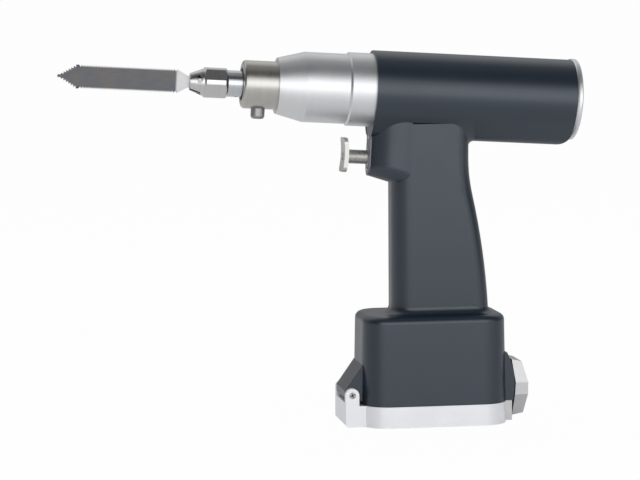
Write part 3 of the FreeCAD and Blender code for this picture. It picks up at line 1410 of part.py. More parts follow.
# Battery pack, its terminals, and the contact block above it
BATTERY_FRONT = "(box_centre - %s / 2 + battery_front_gap)" % BAY_LENGTH
BATTERY_REAR = "(box_centre + %s / 2 - battery_rear_gap)" % BAY_LENGTH
BATTERY_LENGTH = "(%s - %s)" % (BATTERY_REAR, BATTERY_FRONT)
battery = new_body("battery_pack")
extrude(battery, "XY_Plane", "battery_top - battery_bottom", lift="battery_bottom",
        points=rounded_plan(BATTERY_LENGTH, "(%s - 2 * battery_side_gap)" % BAY_WIDTH, "battery_corner",
                            "((%s + %s) / 2)" % (BATTERY_FRONT, BATTERY_REAR)))
rounded(battery, "battery_bevel", lambda edge: edge.BoundBox.ZLength < 1e-3, kind="PartDesign::Chamfer")
keep(battery, "battery_pack")
TERMINALS = 4
contact_block = new_body("contact_block")
extrude(contact_block, "XY_Plane", "contact_plate_thickness", lift=BAY_TOP, back=True,
        points=rounded_plan("(grip_front + grip_rear_low + 2 * contact_plate_margin)",
                            "(grip_width + contact_plate_margin)", "contact_plate_corner",
                            "((grip_rear_low - grip_front) / 2)"))
extrude(contact_block, "XY_Plane", "contact_boss_height", lift=BAY_TOP + " - contact_plate_thickness", back=True,
        points=rounded_plan("(%d * terminal_pitch + 2 * contact_boss_margin)" % TERMINALS, "contact_boss_width",
                            "contact_boss_corner"))
pin_places = ["((%d - %d / 2) * terminal_pitch)" % (number, TERMINALS - 1) for number in range(TERMINALS)]
for place in pin_places:
    hollow(contact_block, "XY_Plane", "contact_plate_thickness + contact_boss_height", lift=BAY_TOP,
           circles=[(place, "0", "contact_pin_radius")])
keep(contact_block, "contact_block")
TERMINAL_TOP = "(battery_top + terminal_height)"
pins, terminals = [], []
for number, place in enumerate(pin_places):
    pins.append(rod("pin_%d" % number, "contact_pin_radius", "%s + contact_pin_tail - %s" % (BAY_TOP, TERMINAL_TOP),
                    (place, "0", TERMINAL_TOP), "z"))
    low = ("%s - terminal_size / 2" % place, "-terminal_size / 2", "battery_top")
    terminals.append(block("terminal_%d" % number, low, ("terminal_size", "terminal_size", "terminal_height")))
keep(combine("Part::Compound", "contact_pins", pins), "contact_pins")
keep(combine("Part::Compound", "battery_terminals", terminals), "battery_terminals")
battery_pad = new_body("battery_pad")
extrude(battery_pad, "XY_Plane", "battery_bottom - lid_floor - battery_pad_gap", lift="lid_floor",
        points=rounded_plan("(box_length - 2 * battery_pad_end_inset)", "(box_width - 2 * battery_pad_side_inset)",
                            "battery_pad_corner", "box_centre"))
keep(battery_pad, "battery_pad")

# Lid: a tray with a front block and two ears, and a groove for its gasket
tray_form = new_body("tray_form")
extrude(tray_form, "XY_Plane", "lid_height", points=rounded_plan("box_length", "box_width", "box_corner", "box_centre"))
hollow(tray_form, "XY_Plane", "lid_height - lid_floor", lift="lid_height",
       points=rounded_plan("(box_length - 2 * box_wall)", "(box_width - 2 * box_wall)", "(box_corner - box_wall)",
                           "box_centre"))
EAR_FRONT = HINGE_X[:-1] + " - ear_radius)"
BLOCK_TOP = "(hinge_z - ear_radius - 2 * knuckle_gap)"
front_block = new_body("front_block")
extrude(front_block, "XZ_Plane", "2 * ear_face", middle=True, points=[
    (EAR_FRONT + " + block_bevel", "0"),
    (BOX_FRONT + " + box_wall", "0"),
    (BOX_FRONT + " + box_wall", "lid_height"),
    (HINGE_X, "lid_height"),
    (HINGE_X, BLOCK_TOP),
    (EAR_FRONT, BLOCK_TOP),
    (EAR_FRONT, "block_bevel"),
])
lid_forms = [tray_form, front_block]
for side, start in (("left", "-ear_face"), ("right", "ear_face - ear_thickness")):
    lid_forms.append(rod("ear_top_" + side, "ear_radius", "ear_thickness", (HINGE_X, start, "hinge_z"), "y"))
    lid_forms.append(block("ear_leg_" + side, (EAR_FRONT, start, "block_bevel"),
                           ("2 * ear_radius", "ear_thickness", "hinge_z - block_bevel")))
GASKET_INSET = "(box_wall - gasket_width)"


def rim_ring(name, depth, top):
    """The ring in the middle of the lid's rim, as deep as given and up to a height."""
    body = new_body(name)
    extrude(body, "XY_Plane", depth, lift="%s - %s" % (top, depth),
            points=rounded_plan("(box_length - %s)" % GASKET_INSET, "(box_width - %s)" % GASKET_INSET,
                                "(box_corner - %s / 2)" % GASKET_INSET, "box_centre"))
    hollow(body, "XY_Plane", "2 * " + depth, lift="%s + 0.5 * %s" % (top, depth),
           points=rounded_plan("(box_length - %s - 2 * gasket_width)" % GASKET_INSET,
                               "(box_width - %s - 2 * gasket_width)" % GASKET_INSET,
                               "(box_corner - %s / 2 - gasket_width)" % GASKET_INSET, "box_centre"))
    return body


knuckle_space = rod("knuckle_space", "ear_radius + knuckle_gap", "2 * " + WEDGE_HALF + " + 2 * knuckle_gap",
                    (HINGE_X, "-%s - knuckle_gap" % WEDGE_HALF, "hinge_z"), "y")
lid_spaces = combine("Part::MultiFuse", "lid_spaces", [
    rim_ring("gasket_groove", "gasket_depth", "lid_height"),
    rod("ear_bore", "hinge_pin_radius", "4 * ear_face", (HINGE_X, "-2 * ear_face", "hinge_z"), "y"),
    knuckle_space,
])
lid_outer = combine("Part::MultiFuse", "lid_outer", lid_forms)
lid_outer.Refine = True
keep(cut("lid", lid_outer, lid_spaces), "lid")
keep(rim_ring("lid_gasket", "(gasket_depth + gasket_proud)", "(lid_height + gasket_proud)"), "lid_gasket")
keep(rod("hinge_pin", "hinge_pin_radius", "2 * ear_face", (HINGE_X, "-ear_face", "hinge_z"), "y"), "hinge_pin")
catch_form = new_body("catch_form")
extrude(catch_form, "XZ_Plane", "2 * catch_half_width", middle=True, points=[
    (BOX_REAR + " - box_wall", "catch_bottom"),
    (BOX_REAR + " + latch_boss_depth", "catch_bottom"),
    (BOX_REAR + " + latch_boss_depth", "lid_height"),
    (BOX_REAR + " - box_wall", "lid_height"),
])
tray_outline = new_body("tray_outline")
extrude(tray_outline, "XY_Plane", "lid_height + overcut",
        points=rounded_plan("box_length", "box_width", "box_corner", "box_centre"))
keep(cut("lid_catch", catch_form, tray_outline), "lid_catch")

# Latch: a faceted lever on a pin, hollow towards the housing, its cheeks beside the lugs
def lever_outline(half, narrow_half):
    """The lever's outline from behind: widest round its pin, and closing in above and below."""
    low, high = "(lever_bottom - overcut)", "(lever_top + overcut)"
    return [
        ("-" + narrow_half, low),
        (narrow_half, low),
        (half, "lever_knee"),
        (half, "lever_middle"),
        (narrow_half, high),
        ("-" + narrow_half, high),
        ("-" + half, "lever_middle"),
        ("-" + half, "lever_knee"),
    ]


def lever_shape(name, side_points, half, narrow_half):
    side = new_body(name + "_side")
    extrude(side, "XZ_Plane", "2 * latch_half_width + overcut", middle=True, points=side_points)
    across = new_body(name + "_across")
    extrude(across, "YZ_Plane", "2 * lever_middle_reach", lift=BOX_REAR, points=lever_outline(half, narrow_half))
    return common(name, side, across)


lever_outer = lever_shape("lever_outer", [
    (BOX_REAR + " + lever_inner_top", "lever_top"),
    (BOX_REAR + " + lever_inner_middle", "lever_middle"),
    (BOX_REAR + " + lever_inner", "lever_bottom"),
    (BOX_REAR + " + lever_foot_reach", "lever_foot"),
    (BOX_REAR + " + lever_knee_reach", "lever_knee"),
    (BOX_REAR + " + lever_middle_reach", "lever_middle"),
    (BOX_REAR + " + lever_top_reach", "lever_top_rear"),
], "latch_half_width", "latch_narrow_half")
lever_hollow = lever_shape("lever_hollow", [
    (BOX_REAR, "lever_top - lever_wall"),
    (BOX_REAR, "lever_floor"),
    (BOX_REAR + " + lever_floor_reach", "lever_floor"),
    (BOX_REAR + " + lever_knee_reach - lever_wall", "lever_knee"),
    (BOX_REAR + " + lever_middle_reach - lever_wall", "lever_middle"),
    (BOX_REAR + " + lever_top_reach - lever_wall", "lever_top - lever_wall"),
], "(latch_half_width - latch_cheek)", "(latch_narrow_half - latch_cheek)")
LATCH_PIN_HALF = "(latch_half_width - latch_pin_inset)"
pin_start = (LATCH_X, "-" + LATCH_PIN_HALF, "latch_z")
lever_spaces = combine("Part::MultiFuse", "lever_spaces", [
    lever_hollow,
    rod("lever_bore", "latch_pin_radius", "2 * " + LATCH_PIN_HALF, pin_start, "y"),
])
keep(cut("latch_lever", lever_outer, lever_spaces), "latch_lever")
keep(rod("latch_pin", "latch_pin_radius", "2 * " + LATCH_PIN_HALF, pin_start, "y"), "latch_pin")
latch_spring = spring("latch_spring", "latch_pin_radius + 2 * latch_spring_wire", "latch_spring_wire",
                      "(latch_spring_room - 2 * latch_spring_gap)", 6)
latch_spring.Placement = Placement(Vector(), Rotation(Vector(1, 0, 0), -90))
bind(latch_spring, Placement__Base__x=LATCH_X, Placement__Base__y="latch_spring_gap - latch_spring_room / 2",
     Placement__Base__z="latch_z")
keep(latch_spring, "latch_spring")

document.recompute()
failed = [item.Name for item in document.Objects if "Invalid" in item.State or "Error" in item.State]
if failed:
    raise RuntimeError("failed: " + ", ".join(failed))
os.makedirs("parts", exist_ok=True)
for item in parts:
    shape = item.Shape
    if shape.isNull() or not shape.isValid():
        raise RuntimeError("%s has no valid shape" % item.Label)
    shape.exportStep("parts/%s.step" % item.Label)
    print("%-18s %d solid(s) %10.1f mm3" % (item.Label, len(shape.Solids), shape.Volume))
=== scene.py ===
from math import cos, pi, radians, sin

import bmesh
import bpy
from mathutils import Matrix, Vector
from mathutils.bvhtree import BVHTree


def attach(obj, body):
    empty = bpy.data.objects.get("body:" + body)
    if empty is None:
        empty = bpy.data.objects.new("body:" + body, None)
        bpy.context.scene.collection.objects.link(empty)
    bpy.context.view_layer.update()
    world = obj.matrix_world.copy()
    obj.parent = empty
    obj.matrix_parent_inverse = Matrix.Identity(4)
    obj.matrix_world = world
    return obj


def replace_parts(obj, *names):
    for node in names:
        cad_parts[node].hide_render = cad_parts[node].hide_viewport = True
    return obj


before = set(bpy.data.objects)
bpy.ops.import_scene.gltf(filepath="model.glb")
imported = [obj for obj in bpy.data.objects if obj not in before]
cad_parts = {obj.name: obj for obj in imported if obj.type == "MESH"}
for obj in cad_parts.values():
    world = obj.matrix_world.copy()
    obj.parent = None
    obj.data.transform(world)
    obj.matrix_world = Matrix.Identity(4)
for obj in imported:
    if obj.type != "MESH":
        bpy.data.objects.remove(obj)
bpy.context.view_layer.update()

# Viewpoint: the saw is seen from its left side, a little from the front and from above, through a
# long lens that stands 1.5 m away. The middle of the grip lies right of the middle of the picture.
PICTURE = (640, 480)
LENS_PIXELS = 2600.0
VIEW_TURN = radians(9.3)
VIEW_RISE = radians(5.7)
VIEW_ROLL = -0.0065
MM_PER_PIXEL = 0.578
GRIP_MIDDLE = Vector((0, 0, 0.10495))
GRIP_PIXEL = (430, 240)
toward_camera = Vector((-sin(VIEW_TURN) * cos(VIEW_RISE), -cos(VIEW_TURN) * cos(VIEW_RISE), sin(VIEW_RISE)))
level_right = Vector((cos(VIEW_TURN), -sin(VIEW_TURN), 0))
level_up = toward_camera.cross(level_right)
right = level_right * cos(VIEW_ROLL) + level_up * sin(VIEW_ROLL)
up = level_up * cos(VIEW_ROLL) - level_right * sin(VIEW_ROLL)
distance = LENS_PIXELS * MM_PER_PIXEL / 1000
across = (GRIP_PIXEL[0] - PICTURE[0] / 2) * MM_PER_PIXEL / 1000
above = (PICTURE[1] / 2 - GRIP_PIXEL[1]) * MM_PER_PIXEL / 1000
camera = bpy.data.objects.new("camera", bpy.data.cameras.new("camera"))
bpy.context.scene.collection.objects.link(camera)
camera.data.sensor_width = 36.0
camera.data.lens = LENS_PIXELS * camera.data.sensor_width / PICTURE[0]
camera.data.clip_start = 0.05
camera.data.clip_end = 200
camera_place = GRIP_MIDDLE + toward_camera * distance - right * across - up * above
camera_turn = Matrix((right, up, toward_camera)).transposed().to_4x4()
camera.matrix_world = Matrix.Translation(camera_place) @ camera_turn
bpy.context.scene.camera = camera
bpy.context.scene.view_settings.view_transform = "Standard"


# Room: white to the camera, as a product studio is. Polished metal sees the white wall behind it
# and the bright front of the room, with a dim ceiling between them, and so shows light and dark bands.
class Reading:
    """A shader value that takes part in sums: each operator adds a Math node of its own."""

    def __init__(self, nodes, socket):
        self.nodes = nodes
        self.socket = socket

    def math(self, operation, *others):
        inputs = dict(enumerate((self, *others)))
        return self.nodes.node("ShaderNodeMath", {"operation": operation}, inputs).read()

    def __add__(self, other):
        return self.math("ADD", other)

    def __sub__(self, other):
        return self.math("SUBTRACT", other)

    def __mul__(self, other):
        return self.math("MULTIPLY", other)

    def __rsub__(self, other):
        return self.math("MULTIPLY_ADD", -1.0, other)

    __radd__ = __add__
    __rmul__ = __mul__


class Added:
    """A node just added: its outputs are read by name or number."""

    def __init__(self, nodes, node):
        self.nodes = nodes
        self.node = node

    def read(self, output=0):
        return Reading(self.nodes, self.node.outputs[output])


class Nodes:
    """The node tree of the room or of one finish."""

    def __init__(self, tree):
        self.tree = tree

    def feed(self, socket, value):
        if isinstance(value, Reading):
            self.tree.links.new(value.socket, socket)
        elif hasattr(value, "__len__") and len(value) == 3 and len(socket.default_value) == 4:
            socket.default_value = (*value, 1.0)
        else:
            socket.default_value = value

    def node(self, kind, settings=None, inputs=None):
        node = self.tree.nodes.new(kind)
        for name, value in (settings or {}).items():
            setattr(node, name, value)
        for name, value in (inputs or {}).items():
            self.feed(node.inputs[name], value)
        return Added(self, node)

    def spread(self, reading, low, high, to_low=0.0, to_high=1.0):
        """A reading taken from one range to another, and kept inside it."""
        inputs = {"Value": reading, "From Min": low, "From Max": high, "To Min": to_low, "To Max": to_high}
        return self.node("ShaderNodeMapRange", {"clamp": True}, inputs).read()

    def apart(self, vector):
        """The three parts of a vector."""
        parts = self.node("ShaderNodeSeparateXYZ", {}, {"Vector": vector})
        return parts.read("X"), parts.read("Y"), parts.read("Z")


DIM_CEILING = 0.09
EVEN_LIGHT = 0.62
room = bpy.data.worlds.new("white_room")
room.use_nodes = True
bpy.context.scene.world = room
sky = Nodes(room.node_tree)
way_x, way_y, way_z = sky.apart(sky.node("ShaderNodeTexCoord").read("Generated"))
ray = sky.node("ShaderNodeLightPath")
front_panel = sky.spread(way_y, -0.82, -0.58, 1.2, 0.0) * sky.spread(way_z, 0.30, 0.50, 1.0, 0.0)
back_wall = sky.spread(way_y, 0.05, 0.35, 0.0, 0.38) * sky.spread(way_z, 0.80, 0.95, 1.0, 0.0)
overhead = sky.spread(way_z, 0.90, 0.99, 0.0, 0.30)
brightest = front_panel.math("MAXIMUM", back_wall).math("MAXIMUM", overhead)
mirrored = brightest * (1.0 - DIM_CEILING) + DIM_CEILING
seen = ray.read("Is Camera Ray").math("MAXIMUM", ray.read("Is Transmission Ray"))
unseen = 1.0 - seen
glossy = ray.read("Is Glossy Ray")
strength = seen + unseen * (glossy * mirrored + (1.0 - glossy) * EVEN_LIGHT)
background = room.node_tree.nodes["Background"]
sky.feed(background.inputs["Color"], (1.0, 1.0, 1.0))
sky.feed(background.inputs["Strength"], strength)


# Floor: pale board that reaches far behind the saw, so that no edge of it shows.
# It looks white from the camera but keeps the saw's soft shadow.
class Finish(Nodes):
    """One material: a Principled surface and the nodes that feed it."""

    def __init__(self, name, **surface):
        self.material = bpy.data.materials.new(name)
        self.material.use_nodes = True
        super().__init__(self.material.node_tree)
        self.surface = self.tree.nodes["Principled BSDF"]
        self.place = self.node("ShaderNodeTexCoord").read("Object")
        self.wear(**surface)

    def wear(self, **surface):
        for name, value in surface.items():
            self.feed(self.surface.inputs[name.replace("_", " ")], value)
        return self

    def noise(self, scale, detail=3.0, roughness=0.5, place=None):
        inputs = {"Vector": place or self.place, "Scale": scale, "Detail": detail, "Roughness": roughness}
        return self.node("ShaderNodeTexNoise", {}, inputs).read()

    def blend(self, amount, low, high):
        """A colour between two, by a reading from nought to one."""
        mix = self.node("ShaderNodeMix", {"data_type": "RGBA"}, {"Factor": amount})
        self.feed(mix.node.inputs[6], low)
        self.feed(mix.node.inputs[7], high)
        return mix.read(2)


FLOOR_HALF = 60.0
floor_mesh = bmesh.new()
bmesh.ops.create_grid(floor_mesh, x_segments=1, y_segments=1, size=FLOOR_HALF)
floor = bpy.data.objects.new("floor", bpy.data.meshes.new("floor"))
floor_mesh.to_mesh(floor.data)
floor_mesh.free()
bpy.context.scene.collection.objects.link(floor)
board = Finish("floor_board", Roughness=0.9)
board.wear(Base_Color=board.blend(board.noise(3.0), (0.80, 0.80, 0.80), (0.84, 0.84, 0.84)))
floor_ray = board.node("ShaderNodeLightPath")
floor_far = board.spread(board.apart(board.place)[1], -1.30, -0.30, 1.20, 0.20)
whiteness = floor_ray.read("Is Camera Ray") * 0.97 + floor_ray.read("Is Glossy Ray") * floor_far
glow = board.node("ShaderNodeEmission", {}, {"Color": (1.0, 1.0, 1.0), "Strength": 1.0})
board_mix = board.node("ShaderNodeMixShader", {}, {0: whiteness})
board.tree.links.new(board.surface.outputs[0], board_mix.node.inputs[1])
board.tree.links.new(glow.node.outputs[0], board_mix.node.inputs[2])
board.tree.links.new(board_mix.node.outputs[0], board.tree.nodes["Material Output"].inputs[0])
floor.data.materials.append(board.material)


# Lamps: one broad soft box above and behind the saw, one in front of it and one beside its grip.
# Each is plain white and stands far enough away to leave soft shadows.
def soft_box(name, place, size, power):
    """A square soft box that faces the saw's middle."""
    lamp = bpy.data.objects.new(name, bpy.data.lights.new(name, "AREA"))
    lamp.data.shape = "RECTANGLE"
    lamp.data.size, lamp.data.size_y = size
    lamp.data.energy = power
    turn = (Vector(place) - Vector((-0.03, 0, 0.15))).to_track_quat("Z", "Y")
    lamp.matrix_world = Matrix.Translation(place) @ turn.to_matrix().to_4x4()
    bpy.context.scene.collection.objects.link(lamp)


soft_box("rear_box", (0.0, 0.75, 1.1), (2.4, 1.0), 3.0)
soft_box("front_box", (-0.10, -1.5, 0.45), (2.4, 1.6), 11.0)
soft_box("side_box", (1.2, -0.9, 0.4), (0.4, 0.8), 0.8)

# Housing: one aluminium casting with the barrel tube, the grip and the battery box, blasted fine
# and anodised blue-black. Its sides are bare.
BARREL_HEIGHT = 0.190
BARREL_TILT = radians(3.35)


def laid_on(finish, *nodes):
    """Gives the finish to nodes of the frame, in place of what they came with."""
    for name in nodes:
        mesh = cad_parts[name].data
        mesh.materials.clear()
        mesh.materials.append(finish.material)
    return finish


def raised(finish, height, distance, strength=1.0):
    """Feeds a finish's normal from a height, in metres at its full value."""
    inputs = {"Height": height, "Distance": distance, "Strength": strength}
    return finish.wear(Normal=finish.node("ShaderNodeBump", {}, inputs).read())


anodised = Finish("housing_anodised", IOR=1.70, Specular_Tint=(0.88, 0.94, 1.0))
dye_cloud = anodised.noise(16.0, 4.0)
blast_grain = anodised.noise(2600.0, 2.0)
handling = anodised.noise(70.0, 5.0, 0.65)
anodised.wear(
    Base_Color=anodised.blend(anodised.spread(dye_cloud * 0.7 + blast_grain * 0.3, 0.32, 0.68),
                              (0.0060, 0.0125, 0.0235), (0.0095, 0.0175, 0.0305)),
    Roughness=anodised.spread(handling * 0.65 + blast_grain * 0.35, 0.3, 0.7, 0.29, 0.37),
)
raised(anodised, blast_grain, 0.00002, 0.22)
laid_on(anodised, "housing")


# Front ring, nose and rear cap: aluminium turned on a lathe and left bright, with the fine rings
# of the tool round the barrel's axis. The nose slides into the ring, and the ring into the tube.
def barrel_place(finish):
    """Coordinates on the barrel's axis: x runs rearwards along it, and y and z across it."""
    inputs = {"Vector": finish.place, "Location": (0, 0, BARREL_HEIGHT), "Rotation": (0, BARREL_TILT, 0)}
    return finish.node("ShaderNodeMapping", {"vector_type": "TEXTURE"}, inputs).read()


def lathe_rings(finish, pitch, drift=45.0):
    """Noise drawn out into rings round the barrel's axis, on its sides and on its end faces."""
    along, side, height = finish.apart(barrel_place(finish))
    radius = (side * side + height * height).math("SQRT")
    parts = {"X": along * pitch, "Y": radius * pitch + side * drift, "Z": height * drift}
    return finish.noise(1.0, 4.0, 0.62, finish.node("ShaderNodeCombineXYZ", {}, parts).read())


def turned_metal(name, dark, pale, rough, pitch=5200.0, depth=0.0000025):
    """Metal with fine lathe rings in its colour, its gloss and its surface."""
    finish = Finish(name, Metallic=1.0)
    fine = lathe_rings(finish, pitch)
    broad = lathe_rings(finish, pitch / 14)
    cloud = finish.noise(120.0, 3.0)
    marks = finish.spread(fine * 0.45 + broad * 0.35 + cloud * 0.2, 0.25, 0.75)
    finish.wear(Base_Color=finish.blend(marks, dark, pale),
                Roughness=finish.spread(fine * 0.7 + cloud * 0.3, 0.3, 0.7, rough - 0.05, rough + 0.06))
    return raised(finish, fine, depth, 0.5)


bright = laid_on(turned_metal("bright_metal", (0.68, 0.69, 0.71), (0.76, 0.77, 0.79), 0.42),
        "front_ring", "nose_housing", "rear_cap")

# Collar and lock button: steel turned with a coarser feed, with a warm grey skin. The collar is
# pressed into the nose, and the button comes up through its underside.
laid_on(turned_metal("collar_steel", (0.44, 0.435, 0.405), (0.56, 0.55, 0.52), 0.30, 3600.0), "collar")
laid_on(turned_metal("button_steel", (0.26, 0.26, 0.26), (0.36, 0.36, 0.36), 0.34), "lock_button")

# Spindle: ground steel, cooler and glossier than the collar that it slides in.
laid_on(turned_metal("spindle_steel", (0.50, 0.52, 0.55), (0.62, 0.64, 0.67), 0.20, 7800.0), "spindle")

# Chuck: steel, turned and then milled to the six spanner flats, its cone slotted and drilled.
laid_on(turned_metal("chuck_steel", (0.52, 0.52, 0.525), (0.66, 0.66, 0.67), 0.24, 6400.0), "chuck")

# Blade: thin spring steel, ground along its length and darkened by hardening; its colour also runs near
# black towards the toothed edges. Only the shoulder in front of the chuck is ground bright again.
BLADE_REAR = -0.1460
TOOTH_ROOT = 0.0052
BLADE_EDGE = 0.0067
REST_TURN = radians(11.5)
TEMPER_WARM = (0.110, 0.101, 0.095)
TEMPER_COOL = (0.082, 0.089, 0.104)
GROUND_STREAK = (0.150, 0.150, 0.156)
TOOTH_DARK = (0.035, 0.035, 0.038)
SHOULDER_BRIGHT = (0.47, 0.47, 0.48)
blade_steel = Finish("blade_steel", Metallic=1.0)
on_axis = barrel_place(blade_steel)
turn_back = {"Vector": on_axis, "Rotation": (-REST_TURN, 0, 0)}
blade_along, blade_through, blade_across = blade_steel.apart(
    blade_steel.node("ShaderNodeMapping", {"vector_type": "TEXTURE"}, turn_back).read())
stretched = {"X": blade_along * 220.0, "Y": blade_through * 3000.0, "Z": blade_across * 3000.0}
grinding = blade_steel.noise(1.0, 4.0, 0.6, blade_steel.node("ShaderNodeCombineXYZ", {}, stretched).read())
temper = blade_steel.noise(95.0, 4.0, 0.6)
dulled = blade_steel.blend(blade_steel.spread(temper, 0.36, 0.64), TEMPER_WARM, TEMPER_COOL)
streaked = blade_steel.blend(blade_steel.spread(grinding, 0.3, 0.7, 0.0, 0.5), dulled, GROUND_STREAK)
tooth_tips = blade_steel.spread(blade_across.math("ABSOLUTE"), TOOTH_ROOT, BLADE_EDGE, 0.0, 0.8)
toothed = blade_steel.blend(tooth_tips, streaked, TOOTH_DARK)
shoulder = blade_steel.spread(blade_along + temper * 0.0012, BLADE_REAR - 0.0004, BLADE_REAR + 0.0008)
blade_steel.wear(Base_Color=blade_steel.blend(shoulder, toothed, SHOULDER_BRIGHT),
                 Roughness=blade_steel.spread(grinding, 0.3, 0.7, 0.30, 0.44))
raised(blade_steel, grinding, 0.000008, 0.5)
laid_on(blade_steel, "blade")

# Blade pin: a polished steel cross pin, with a greenish oil film on its ends.
pin_steel = Finish("pin_steel", Metallic=1.0)
oil = pin_steel.noise(900.0, 3.0)
pin_steel.wear(Base_Color=pin_steel.blend(oil, (0.30, 0.31, 0.28), (0.44, 0.45, 0.42)),
               Roughness=pin_steel.spread(oil, 0.3, 0.7, 0.2, 0.32))
laid_on(pin_steel, "blade_pin")

# Trigger: a stainless finger pad on its stem, tumbled to a soft mottled shine, that slides in a
# polished guide.
tumbled = Finish("stainless", Metallic=1.0)
mottle = tumbled.noise(650.0, 3.0, 0.55)
specks = tumbled.noise(2400.0, 2.0)
dull_or_bright = tumbled.spread(mottle, 0.3, 0.7)
tumbled.wear(Base_Color=tumbled.blend(dull_or_bright, (0.28, 0.275, 0.26), (0.44, 0.435, 0.42)),
             Roughness=tumbled.spread(mottle * 0.6 + specks * 0.4, 0.3, 0.7, 0.34, 0.48))
raised(tumbled, mottle, 0.00001, 0.25)
laid_on(tumbled, "trigger_stem", "trigger_guide")
laid_on(turned_metal("pad_steel", (0.52, 0.52, 0.50), (0.60, 0.60, 0.585), 0.33), "trigger_pad")

# Trigger plate: a thin sheet of aluminium, grey anodised, let into the front of the boss.
sheet = Finish("plate_grey", Metallic=0.75)
roll_marks = sheet.noise(1.0, 3.0, 0.5, sheet.node(
    "ShaderNodeVectorMath", {"operation": "MULTIPLY"}, {0: sheet.place, 1: (2500.0, 2500.0, 160.0)}).read())
rolled = sheet.spread(roll_marks, 0.3, 0.7)
sheet.wear(Base_Color=sheet.blend(rolled, (0.135, 0.137, 0.165), (0.19, 0.19, 0.225)),
           Roughness=sheet.spread(roll_marks, 0.3, 0.7, 0.36, 0.5))
laid_on(sheet, "trigger_plate")


# Plate screws and hinge pin: small turned steel pieces with a cross recess for a screwdriver in
# each head. The screws hold the plate, and the pin holds the lid's ears to the housing.
ON_PLANE = 1e-7


def cross_headed(bm, radius, bottom, top, bevel, arm, half_slot, depth):
    """A round pin along Z, bevelled at its top end, with a cross recess sunk in that end."""
    def at_top(direction):
        return [face for face in bm.faces
                if direction(face.normal.z) > 0.99 and abs(face.calc_center_median().z - top) < ON_PLANE]

    made = bmesh.ops.create_cone(bm, cap_ends=True, cap_tris=False, segments=48,
                                 radius1=radius, radius2=radius, depth=top - bottom)["verts"]
    bmesh.ops.translate(bm, verts=made, vec=(0, 0, (top + bottom) / 2))
    rim = [edge for edge in {e for v in made for e in v.link_edges}
           if all(abs(v.co.z - top) < ON_PLANE for v in edge.verts)]
    bmesh.ops.bevel(bm, geom=rim, offset=bevel, offset_type="OFFSET", affect="EDGES", segments=3,
                    profile=0.5, material=-1)
    head = max(at_top(abs), key=lambda face: face.calc_area())
    bmesh.ops.inset_region(bm, faces=[head], thickness=radius - bevel - arm)
    for normal in (Vector((1, 0, 0)), Vector((0, 1, 0))):
        for side in (-half_slot, half_slot):
            flat = [face for face in at_top(abs) if face.calc_center_median().xy.length < arm]
            around = {e for face in flat for e in face.edges} | {v for face in flat for v in face.verts}
            bmesh.ops.bisect_plane(bm, geom=flat + list(around), plane_co=normal * side, plane_no=normal)
    slots = [face for face in at_top(float) if all(v.co.xy.length < arm * 1.001 for v in face.verts)
             and min(abs(face.calc_center_median().x), abs(face.calc_center_median().y)) < half_slot * 0.9]
    sunk = bmesh.ops.extrude_face_region(bm, geom=slots)["geom"]
    bmesh.ops.delete(bm, geom=slots, context="FACES_ONLY")
    floor_corners = [corner for corner in sunk if isinstance(corner, bmesh.types.BMVert)]
    bmesh.ops.translate(bm, verts=floor_corners, vec=(0, 0, -depth))


def merged(bm, part):
    """Adds one mesh to another, and lets go of the first."""
    carrier = bpy.data.meshes.new("carrier")
    part.to_mesh(carrier)
    part.free()
    bm.from_mesh(carrier)
    bpy.data.meshes.remove(carrier)


def placed(name, bm, finish, body, sharp=40.0):
    """Makes the finished object of a mesh that already lies in place, and lets it ride on a body."""
    bmesh.ops.remove_doubles(bm, verts=bm.verts, dist=1e-7)
    bmesh.ops.recalc_face_normals(bm, faces=bm.faces)
    piece = bpy.data.objects.new(name, bpy.data.meshes.new(name))
    bm.to_mesh(piece.data)
    bm.free()
    bpy.context.scene.collection.objects.link(piece)
    piece.data.materials.append(finish.material)
    piece.data.shade_smooth()
    piece.data.set_sharp_from_angle(angle=radians(sharp))
    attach(piece, body)
    return piece


BARREL = Matrix.Translation((0, 0, BARREL_HEIGHT)) @ Matrix.Rotation(BARREL_TILT, 4, "Y")


def barrel_matrix(along, height):
    """The place of a piece drawn along Z that then points forwards, on a line under the barrel."""
    return BARREL @ Matrix.Translation((along, 0, height)) @ Matrix.Rotation(-pi / 2, 4, "Y")


PLATE_FRONT = -0.0342
SCREW_HEIGHTS = (-0.0270, -0.0457)
SHANK_RADIUS = 0.0008
SHANK_LENGTH = 0.0053
screw_mesh = bmesh.new()
for height in SCREW_HEIGHTS:
    screw = bmesh.new()
    cross_headed(screw, radius=0.0013, bottom=0.0, top=0.0003, bevel=0.00012,
                 arm=0.00095, half_slot=0.00018, depth=0.00022)
    shank = bmesh.ops.create_cone(screw, cap_ends=True, cap_tris=False, segments=32,
                                  radius1=SHANK_RADIUS, radius2=SHANK_RADIUS, depth=SHANK_LENGTH)["verts"]
    bmesh.ops.translate(screw, verts=shank, vec=(0, 0, -SHANK_LENGTH / 2))
    bmesh.ops.transform(screw, matrix=barrel_matrix(PLATE_FRONT, height), verts=screw.verts)
    merged(screw_mesh, screw)
screw_steel = Finish("screw_steel", Metallic=1.0)
screw_grain = screw_steel.noise(1800.0, 3.0)
screw_steel.wear(Base_Color=screw_steel.blend(screw_grain, (0.46, 0.46, 0.46), (0.60, 0.60, 0.60)),
                 Roughness=screw_steel.spread(screw_grain, 0.3, 0.7, 0.24, 0.4))
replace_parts(placed("screws_with_recess", screw_mesh, screw_steel, "root"), "plate_screws")

